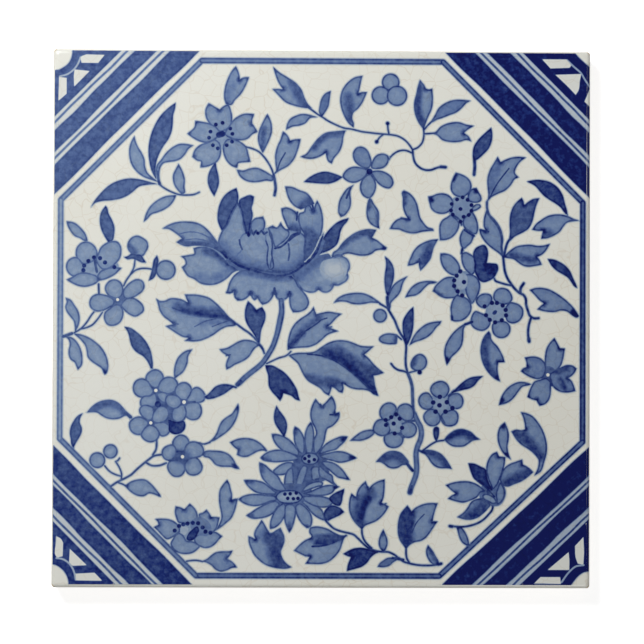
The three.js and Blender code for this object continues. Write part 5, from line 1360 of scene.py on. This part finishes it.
print_spray("torn_flower_lower_left", [
    pen(0.38, "-38,-68.6 -36.5,-68.4 -35,-68.4 -33.5,-68.7"),
    wash(PALE + 0.06, "-33.7,-68.6! -32.3,-68 -31,-66.9 -29.8,-66.1 -28,-65.8 -26.3,-65.8 -25,-65.6! "
         "-25.6,-66.8 -26.5,-67.9! -25.6,-68.4 -24.5,-69.3 -23.7,-70.4! -25.1,-70.5 -26.6,-71.2 "
         "-28.2,-71.6 -29.8,-71 -31,-69.8 -32.4,-69"),
    pale("-26.6,-45.4! -27.8,-46.8 -28.7,-48.4 -28.9,-50.3 -28.8,-52.3 -28.4,-54.3 -28.2,-56.2 -28.8,-58 "
         "-29.8,-59.9! -28.4,-59 -26.8,-57.7 -25.4,-56.4 -24.6,-54.8 -24,-52.8 -23.6,-50.9! -24.6,-51 "
         "-25.2,-51.2! -25.2,-49.6 -25.6,-48 -26,-46.5"),
    pen(0.48, "-25.8,-51.5 -24,-51"), *pips(5.6, "-37.2,-59.8", PALE, PALE),
    pale("-41.2,-53! -39.8,-53.3 -38.7,-53.8! -37.8,-52.9 -37.2,-52.2! -36,-53.3 -35.2,-54.5 -34.9,-56 "
         "-35.5,-57.4 -37,-57.9 -39,-57.8 -40.3,-57.7 -41,-56.3 -41.4,-54.6"),
    pale("-47,-56.6! -45,-56.5 -43,-56.7 -41.4,-57.4 -40.3,-58.5 -39.8,-60 -40.9,-61 -42.3,-62 -43.6,-62.4 "
         "-45,-61.3 -46.2,-60 -47.3,-58.9! -46,-58.2! -46.3,-57.3"),
    pale("-42,-62.3 -41.2,-61 -40,-60.5 -38.9,-61.3 -38,-62.7 -36.5,-62.9 -35,-63.5 -34.2,-64.3 -35,-65.3 "
         "-36.5,-66.3 -38.5,-66.6 -40.5,-66.2 -42,-65 -42.6,-63.6"),
    pale("-36,-62.3 -35,-61 -33.5,-60.4 -31.5,-60.4 -29.7,-60.3 -28.9,-60.8 -27.9,-61.5! -28.9,-62.5 "
         "-29.7,-63.5 -31,-64.5 -32.8,-64.9 -34.5,-64.3 -35.7,-63.4"),
    pale("-34.6,-55.2 -33.5,-54.8 -32.4,-53.9! -31.6,-55 -31,-56! -29.9,-56 -28.7,-56.2! -29,-57.5 "
         "-29.4,-59 -30.2,-60.2 -31.7,-60.4 -33,-60 -33.8,-58.9 -34.5,-57.5 -34.6,-56.2"),
    wash(MID, "-34.6,-56 -31.4,-58 -31,-60.6 -34,-61.4 -36.5,-60 -37,-57.6", rim=MID),
    wash(0.84, "-38,-62.5 -37.7,-61 -36.5,-59.6 -35,-58.7 -34.5,-59.5 -35,-61 -35.8,-62.3 -37,-62.8"),
    *pips(2.6, "-38.8,-59.8", 0.3),
    *pips(1.2, "-39,-58.1 -37.8,-57.9 -36.3,-57.7 -34.8,-57.8 -33.5,-59 -32.7,-60.2 -31.3,-60.5 "
          "-40.2,-58.6 -41.4,-59.9"),
])

# Bottom middle: double chrysanthemum
# Two daisy-like heads that overlap, each with long pointed petals round a dotted disc.
print_spray("double_chrysanthemum", [
    wash(0.7, "-8,-39.4 -6.4,-35.8 -3.4,-34.4 -.2,-35.8 1.8,-39 .6,-42.4 -3,-44.6 -6.6,-42.8", rim=0.7),
    wash(0.7, "-8.6,-41 -4,-40.6 1.2,-41 2.4,-44.4 -1,-46.4 -6,-47 -9,-45", rim=0.7),
    pale("-1.6,-22.6! -.7,-23.8 .2,-24.5! 1.4,-23.5 2.9,-21.7! 3.6,-23 4,-24.8 3.9,-26 4.1,-26.6! "
         "5.1,-26.3! 5,-27.6 4.2,-29 3,-30.1 1.7,-30.8 1.2,-32.2 .9,-34 .3,-35.7 -.6,-37.2 -1.6,-38 "
         "-2.1,-36.5 -2,-34 -1.3,-32.3 -1.6,-30.8 -2.4,-29.3 -2.9,-27.5 -2.8,-25.5 -2.3,-24"),
    pen(0.48, "2.5,-26.9 5,-26.8"), pen(0.48, "-.3,-24 .6,-25"),
    pale("-2.9,-29.1! -3.8,-30.4 -4.4,-32 -4.6,-34 -4.4,-36 -3.9,-37.8 -3,-38 -2.4,-36.5 -2.2,-34.5 "
         "-2.1,-32.5 -2.4,-30.5"),
    pale("-7.4,-30.4! -7.7,-31.5 -7.6,-33 -7.5,-34.5 -7,-36 -6.3,-37.3 -5.2,-38 -4.8,-37 -4.8,-35 -5,-33.3 "
         "-5.5,-32.3 -6.5,-31", dab(DARK, 1.4, "-7.2,-31 -7.2,-32")),
    pale("-13.9,-32.5! -12.5,-32.6 -11,-33 -9.5,-33.8 -8.2,-34.9 -7.2,-36.2 -6.3,-37.7 -6.5,-38.5 "
         "-7.8,-38.2 -9.8,-37.6 -11.6,-36.5 -12.8,-35.2 -13.5,-33.9"),
    pale("-17.1,-39.2! -16,-38.2 -14.5,-37.4 -12.5,-37 -10.5,-37.2 -8.5,-37.9 -7,-38.7 -6.3,-39.3 "
         "-7.5,-39.8 -9,-40 -11,-40.2 -13,-40.3 -15,-40.1 -16.3,-39.8",
         dab(DARK, 1, "-16.8,-39.3 -14.5,-39.9")),
    pale("-13.5,-43.2 -12.5,-42 -11,-41 -9.3,-40.5 -8,-40.8 -8.2,-41.7 -9,-43 -10,-43.7 -11.7,-44 "
         "-13,-43.8"),
    pale("-10.3,-48 -10.3,-46 -10,-44 -9.2,-42.5 -8.3,-42 -7.9,-43.5 -7.8,-45.5 -7.9,-47.3 -8.5,-48.3"),
    pale("-6.2,-47.9 -6.9,-47.6 -7,-46.4 -6.5,-44.1 -5.7,-42.2 -4.8,-41.3 -4,-41.8 -4.1,-43.3 -4.6,-45 "
         "-5.2,-46.6"),
    pale("-2.3,-45.5 -2.7,-44 -2.5,-42 -.9,-41.7 -.3,-42.6 -.2,-44 -.3,-45 -1.2,-45.3"),
    pale("7.4,-33.2! 5.8,-33.2 4.3,-33.7 2.8,-34.4 1.3,-35.4 .3,-36.5 -.4,-38 1,-37.6 2.8,-37.1 4.2,-36.7 "
         "5.3,-35.7 6.3,-34.8", dab(DEEP, 1.2, "7,-33.4 6,-34")),
    pale("-.4,-38.7 .8,-38.2 2.3,-37.8 4.5,-37.4 6.5,-37.6 8.3,-38.3 10,-39.2! 8.3,-39.8 6.5,-40.3 5,-40.4 "
         "3.5,-40 1.5,-39.5", dab(DEEP, 1.2, "9.6,-39.2 8.4,-39.1")),
    pale(".2,-40.3 2,-40.3 3.8,-40.8 5.3,-41.9 6.5,-43.2 7.3,-44.4 8.1,-45.4! 6.5,-45 4.8,-44.6 3.9,-43.9 "
         "2.5,-42.7 1,-41.5"),
    wash(PALE + 0.04, "-.3,-41.3 .5,-42 2,-43.3 3.3,-44.2 3.6,-45.8 4.9,-47.4! 3.3,-46.7 1.9,-45.8 "
         ".8,-45.3 -.2,-44.8"),
    pen(0.48, "-1.5,-45.3 .3,-45", DARK),
    wash(0.4, "-5.7,-39.4 -4.9,-38.1 -3.1,-37.6 -1.3,-38.1 -.5,-39.4 -1.2,-40.7 -3.1,-41.2 -4.9,-40.8",
         rim=0.82),
    *pips(1, "-3.4,-38.7 -4.6,-39.4 -1.9,-39.7 -3.4,-40.2"),
    wash(0.68, "-16,-50.4 -14.6,-48 -11.4,-46.8 -7.4,-46.4 -3.6,-47.4 -1.8,-49.8 -3,-52.6 -6,-54.6 "
         "-9.8,-55 -13.4,-53.4", rim=0.68),
    pale("-17.4,-40.6! -15.8,-41.4 -14.5,-42.6 -13.3,-43.5 -12.2,-44.5 -11.5,-45.8 -10.5,-47.3 -10,-48.3 "
         "-12.3,-48.5 -13.5,-48 -15.2,-46.5 -16.6,-44.8 -17.2,-42.8",
         dab(DARK, 1.6, "-17.1,-41.2 -16.8,-42.6")),
    pale("-21.7,-45.6! -20,-45.6 -18,-45.8 -16.3,-46.3 -15,-47.2 -13.7,-48.3 -12.7,-49.3 -14.5,-49.5 "
         "-17,-49.3 -18.8,-48.7 -20,-47.8 -21,-46.7", dab(DARK, 1, "-20.8,-46 -19.3,-46")),
    pale("-23.3,-51! -22,-50.2 -20.2,-49.7 -18,-49.6 -15.5,-49.9 -13,-50.3 -12.6,-51 -14.5,-51.6 "
         "-16.5,-52.4 -18.5,-52.8 -20.3,-52.6 -22,-51.9"),
    pale("-21,-55.6! -19.7,-54.8 -18.3,-53.8 -16.5,-52.8 -14.5,-51.9 -12.5,-51.6 -11.8,-52.3 -12.5,-53.5 "
         "-13.5,-54.8 -15.2,-55.8 -17.5,-56.3 -19.5,-56.3", dab(DARK, 1.2, "-20.6,-55.7 -19.4,-55.6")),
    pale("-14.3,-59.3! -14.2,-57.5 -13.8,-56 -13,-54.3 -11.8,-52.9 -10.4,-52.2 -9.9,-53.5 -10.1,-55.3 "
         "-10.9,-56.8 -12,-58.2 -13.4,-59.1"),
    pale("-8.9,-60.3! -9.7,-58.5 -10.2,-56.8 -10.2,-54.8 -9.8,-52.6 -8.3,-52.4 -7.3,-53.2 -7.2,-55 "
         "-7.6,-57 -8.2,-59", dab(DARK, 1.2, "-9,-59.7 -8.9,-58.3")),
    pale("-7.1,-53 -7,-54.5 -6.3,-56.3 -5.3,-57.8 -4,-59! -3.2,-58.9 -2.6,-57.5 -2.7,-55.8 -3.5,-54.2 "
         "-4.8,-52.9 -6,-52.2"),
    pale("-5.3,-51.6 -4,-53 -2.5,-54.8 -1,-56 .5,-56.7 1.3,-56.9! .8,-55.3 .2,-54 -1,-52.9 -2.5,-51.9 "
         "-4,-51.3"),
    pale("-5,-50.4 -3,-50.1 -.5,-50.1 1.5,-50.5 3.2,-51.3 3.2,-52 2.3,-52.9 .5,-53.2 -1.5,-52.9 -3.5,-52 "
         "-4.7,-51.2"),
    wash(0.3, "-5.6,-49 -5,-47.8 -3.8,-46.7 -2.2,-46 -.3,-45.8 .6,-46.2 .5,-47 -1,-47.5 -3,-48.2 "
         "-4.5,-48.8"),
    pale("-5,-49.3 -3,-48.8 -1,-47.9 1,-47.2 3,-47 5.1,-47.4! 4,-48 3.2,-49 1.5,-49.7 -1,-49.9 -3.5,-49.7",
         dab(DEEP, 1, "4.7,-47.5 3.9,-47.6")),
    wash(0.32, "-12.9,-50.3 -12,-49 -9,-48.3 -6,-49 -5.1,-50.3 -6,-51.6 -9,-52.3 -12,-51.6", rim=0.85),
    *pips(1, "-10.2,-49.5 -8.7,-49.4 -7,-49.2 -9.4,-50.7 -7.8,-50.8 -6.5,-50.7"),
    wash(0.8, "6.6,-48! 5,-48.7 3.5,-49.5 2.3,-50.8 3,-51.8 4,-52.6 5.3,-52.8 6,-51.5 6.2,-50 6.5,-49"),
    wash(DARK, "6.6,-54.6! 5.7,-53.6 4.3,-52.9 3,-52.7 1.7,-53.5 .9,-54.8 1,-56.2 1.8,-57.1 3,-56.6 "
         "4.3,-56 5.5,-55.4"),
], swell=0.16)

# Bottom: stems and lobed leaves along the bottom line
# Two broad lobed leaves left of the stem, three more to its right, and a thin stem that joins them.
print_spray("bottom_leaves", [
    pen(0.48, "1.2,-56.8 2.3,-58 3.6,-59.2 5.5,-60 7.5,-60.5 9.3,-61 10.7,-62.2 12,-63.5 13.7,-64.9 "
        "15.5,-65.6 17.3,-65.9 19.3,-66 21,-66.8 22.5,-68 23.8,-68.8 25.2,-69.2 27,-69.6 29,-69.8 31,-69.8 "
        "33,-69.6 34.3,-69.3"),
    pen(0.78, "33.5,-69.5 34.3,-69.3"), pen(0.48, "11.7,-59.2 11.8,-61 12.5,-62.8 13.5,-64 14.5,-64.9"),
    pen(0.48, "24.3,-65 24.3,-66.5 24.6,-68 25.3,-69.1"),
    pale("-16.8,-56.8! -17.6,-58.2 -18.5,-59.6 -18.9,-61 -18.6,-62.3! -19.6,-61.8 -20.5,-61.5! -20.4,-63.3 "
         "-19.8,-65 -18.9,-66.8 -17.5,-68.3 -15.7,-69.6 -13.8,-70.3 -11.5,-70.7 -9.5,-70.7 -8.2,-70.3! "
         "-9.3,-69.6 -10.3,-68.6 -11,-67.3 -11.3,-66 -10.8,-64.5 -10.3,-63 -10.4,-61.4 -11,-60 "
         "-11.4,-59.1! -12.7,-59.8 -13.8,-60.5 -14.4,-60.6! -15.3,-59.3 -16,-58",
         dab(0.82, 4.6, "-14.4,-61.4 -13.2,-63.6 -12.8,-66.4 -11.6,-69.4"),
         dab(DARK, 2, "-11.6,-60.6 -11.2,-64")),
    pen(0.35, "-20.2,-61.9 -18.8,-62.4"),
    pale("7.6,-61.2! 5.6,-61.2 3.8,-60.4 2.2,-59.5 .4,-58.9 -1.5,-58.7 -3.1,-59.2 -3.2,-60.5 -2.6,-61.6 "
         "-2.8,-61.9! -4.5,-62.7 -6,-63.9 -7.6,-65.6! -6,-66.4 -4.5,-67.1 -3.2,-67.4! -3.6,-68.3 "
         "-4.3,-69.3! -2,-69.4 0,-69.4 2,-68.9 4,-67.4 5.5,-65.4 6.2,-63.4 6.8,-61.9",
         dab(0.84, 1.8, "-1.2,-63.2 1,-63.2 4,-62.4 7,-61.5"),
         dab(DARK, 1.4, "-.8,-61.8 2.4,-61.5 5.6,-61.6")),
    pen(0.5, "-2.4,-64.4 0,-64.3 2.5,-63.7 5,-62.6 7.2,-61.3"), pen(0.35, "-4.3,-67.1 -2.9,-67"),
    pale("8.7,-49.3! 8.2,-50.8 8,-52.5 8.1,-54.3 8.7,-56 9.7,-57.6 11,-58.9 11.8,-59.6! 12.5,-58.6 "
         "14,-57.9 15.7,-57.2 17.2,-56 18.3,-54.7 19.3,-53! 17.9,-52.2 17.3,-51.9! 17.8,-50.5 18,-49 "
         "18.1,-47.2 18.1,-45.3! 16.6,-45.7 15.2,-46.4 14.2,-47.2 13.7,-47.8! 13.1,-46.8 12.7,-45.8! "
         "11.7,-46.7 10.8,-47.8 10.2,-49.2 10,-50.3! 9.4,-49.9",
         dab(DARK, 3.4, "14,-49.6 11.8,-52 10.6,-55 11,-58.4"), dab(0.9, 1.6, "13.6,-51 12,-53.8 11.3,-57")),
    pen(0.35, "11.8,-58.4 12.2,-55.4 14.4,-50.4"), pen(0.35, "13.5,-47.5 13.8,-48.3"),
    pen(0.35, "17,-52.6 18.5,-52.2"),
    pale("15.6,-40.3! 16.6,-39.2 17.9,-38 19.3,-37.3 21,-37.2 22.8,-37.8 24,-39 24.9,-40.6 24.3,-41.1 "
         "23.2,-41.2 22,-41.9 20.5,-42.2 19.2,-41.9 18,-41 16.9,-40.4",
         dab(DARK, 3, "17,-39.6 20.6,-38.2 24,-40")),
    pen(0.78, "24.5,-40.8 25.2,-41.8 26.1,-42.8"),
    pale("24.6,-52.7! 23.8,-53.6 22.7,-55 22.1,-57 21.9,-59 22,-61 22.6,-62.8 23.6,-64.2 24.3,-65.2! "
         "25.3,-64 26.7,-63.2 28.5,-62.8 29.8,-62 30.9,-60.7 31.9,-59.2 32.7,-58 33.2,-57.3! 32.4,-57.2 "
         "31.8,-57.3! 32,-56 32.4,-54.4 33.2,-52.1! 31.5,-52 29.7,-52.2 28,-52.8 26.6,-53.6 25.8,-54.4! "
         "25.2,-53.5", dab(0.83, 4.2, "24.6,-54.4 23.8,-58.5 24.2,-62.6"),
         dab(0.84, 1.6, "26,-56 25.4,-59.4 25,-62.6")),
    pen(0.35, "24.5,-64.6 26,-60.4 27.4,-57.4 29.4,-55.2"),
    pale("17.8,-59.5! 17.1,-60.8 16.6,-62.3 16.5,-63.7 16.9,-65 17.5,-65.8! 18.1,-65.9 18.6,-65 19,-63.7 "
         "18.9,-62.2 18.3,-60.7", dab(DARK, 1.2, "17.6,-60 17.4,-61")),
    pale("30.5,-64! 30,-65.5 30.1,-66.8 30.7,-68.2 31.5,-69.2 32.5,-69.6 33.8,-69.5! 33.5,-68.5 32.8,-67.3 "
         "32.1,-66 31.3,-64.9", dab(DARK, 1.4, "30.8,-64.6 32,-66.4 33.2,-68.8")),
    wash(0.82, "6.5,-66.5! 7.8,-65.7 9.5,-65 11.3,-64.8 13,-65 14.8,-65.5 16.7,-66! 15.3,-66.6 14.2,-67.6 "
         "13.2,-69 11.8,-70.1 10,-70.7 7.5,-71.4! 7.7,-70 8.1,-68.7 8.7,-67.4! 7.6,-67.1"),
    wash(MID, "16.2,-70.2! 16.8,-69.2 17.8,-68.4 19,-67.7 20.5,-67.5 22,-67.3 23.5,-68.2! 22,-68.2 "
         "20.8,-68.8 19.7,-69.8 18.2,-70.3"),
    pen(0.68, "20.5,-67.7 23.5,-68.2"),
])

# Lower right: great open flower
# Five toothed petals round a bell-shaped calyx, on a thin stem that bends away under the bottom petal.
print_spray("great_flower_lower_right", [
    pen(0.48, "49,-52.8 48.7,-54 47.7,-55.3 46.3,-56.7 44.5,-57.8 42.3,-58.5 40,-58.8 38,-58.7 36.7,-58.6"),
    pen(0.78, "37.4,-58.7 36.7,-58.6"),
    pale("38.6,-58.9! 39,-60.3 39.5,-62 40.3,-63.3 41.3,-64 42.3,-64.3! 42.1,-62.8 41.6,-61.3 40.9,-60 "
         "40,-59"),
    wash(0.6, "45.6,-47.4 48.4,-45.8 51.4,-46.2 52.6,-49 50.8,-52.6 47.6,-52.6 45.2,-50.4", rim=0.6),
    wash(0.8, "41.9,-40.7! 43.5,-40.8 45.3,-41.6 46.9,-42.5 47.2,-44.5 47.9,-46.5 48.8,-48.5 47.3,-47.8 "
         "45.3,-46.3 43.5,-45 42.7,-43.3"),
    pale("50,-37.4! 48.8,-38 47.5,-39.8 47,-42 47.3,-44.5 48.2,-46.8 48.9,-48.2 49.9,-47.2 50.9,-45.3 "
         "51.7,-43 52.2,-41 52.4,-38.9! 50.6,-38.7!"),
    pale("35.5,-46.9! 37.5,-46.2 40,-45.8 42.3,-45.9 44.3,-46.6 46,-47.8 46.8,-48.6 45.5,-49 44.5,-50.3 "
         "42.5,-51.3 40.3,-51.9 38.3,-51.5 36.1,-50.8! 37,-50 38.3,-49.3! 37,-48.3"),
    pale("38.8,-56! 40.5,-54.8 41.8,-53.2 42.8,-51.6 44.5,-50.8 46.3,-50.7 47.5,-51.5 48.3,-52.5 "
         "47.6,-53.5 46.3,-54.9 44.5,-56.2 42.3,-56.8 40.5,-56.6",
         dab(DARK, 3.2, "46.4,-52.2 45,-54.2 42,-56")),
    pale("57.2,-39.6! 55.5,-40.2 53.5,-41 52,-42.2 51.2,-43.8 50.9,-45.5 51.7,-47 53,-47.3 55,-46.6 "
         "57,-45.8 58.8,-44.6 60.4,-43.2! 59.3,-42.1 58,-41.3 57.4,-41!",
         dab(DARK, 3, "53,-46.2 56,-44.8 59.4,-43.2")),
    wash(0.3, "45.9,-49.9 46.8,-49.3 48.3,-49.7 49.5,-50.6 50,-52 49,-52.3 47.5,-51.6 46.3,-51"),
    pale("50,-51.5 49.7,-49.7 50.2,-47.7 51,-46.2 52,-47.4 52.4,-49.3 51.9,-51 50.9,-52.2 50,-52.5"),
    *pips(1.5, "47.8,-48.7", DARK), pen(0.4, "44.4,-45.6 46.4,-47.2 48,-48.6 49.4,-50.2"),
])

# Floor and light
# A plain white sweep, and soft lamps at the sides as over a copy stand, the stronger one at the upper left.
# The sweep lies a hair below the tile, so that the two do not share one plane.
FLOOR_SIZE = 6
FLOOR_DROP = 0.02
FLOOR_WHITE = "#E8E8E8"
FLOOR_GLOW = 0.74
bpy.ops.object.select_all(action="DESELECT")
bpy.ops.mesh.primitive_plane_add(size=FLOOR_SIZE, location=(0, 0, -FLOOR_DROP * MM))
floor = bpy.context.object
floor.name = "floor"
bpy.ops.object.transform_apply(location=True, rotation=True, scale=True)
# White paper: matt, and glowing only to the eye and in reflections, so that it is white but throws no light.
floor_white, floor_shader = new_material("white_paper_sweep")
floor_shader.inputs["Base Color"].default_value = linear(FLOOR_WHITE)
floor_shader.inputs["Roughness"].default_value = 0.9
rays = node(floor_white, "ShaderNodeLightPath").outputs
seen = node(
    floor_white, "ShaderNodeMath", {"operation": "MAXIMUM"},
    {0: rays["Is Camera Ray"], 1: rays["Is Glossy Ray"]},
)
seen_through = node(
    floor_white, "ShaderNodeMath", {"operation": "MAXIMUM"},
    {0: seen.outputs[0], 1: rays["Is Transmission Ray"]},
)
glow = node(
    floor_white, "ShaderNodeMath", {"operation": "MULTIPLY", 1: FLOOR_GLOW}, {0: seen_through.outputs[0]}
)
floor_shader.inputs["Emission Color"].default_value = (1, 1, 1, 1)
floor_white.node_tree.links.new(glow.outputs[0], floor_shader.inputs["Emission Strength"])
floor.data.materials.append(floor_white)


def soft_lamp(name, place, size, power):
    """A round soft lamp that faces the tile."""
    lamp_data = bpy.data.lights.new(name, "AREA")
    lamp_data.shape = "DISK"
    lamp_data.size = size
    lamp_data.energy = power
    lamp = bpy.data.objects.new(name, lamp_data)
    lamp.location = place
    lamp.rotation_euler = Vector(place).to_track_quat("Z", "Y").to_euler()
    bpy.context.scene.collection.objects.link(lamp)


soft_lamp("key_lamp", (-0.23, 0.3, 0.48), size=0.25, power=3.0)
soft_lamp("fill_lamp", (0.35, -0.8, 0.9), size=0.5, power=2.7)
ROOM_LIGHT = 0.1
world = bpy.data.worlds.new("studio")
bpy.context.scene.world = world
world.use_nodes = True
world.node_tree.nodes["Background"].inputs["Color"].default_value = (1, 1, 1, 1)
world.node_tree.nodes["Background"].inputs["Strength"].default_value = ROOM_LIGHT
bpy.context.scene.view_settings.view_transform = "Standard"
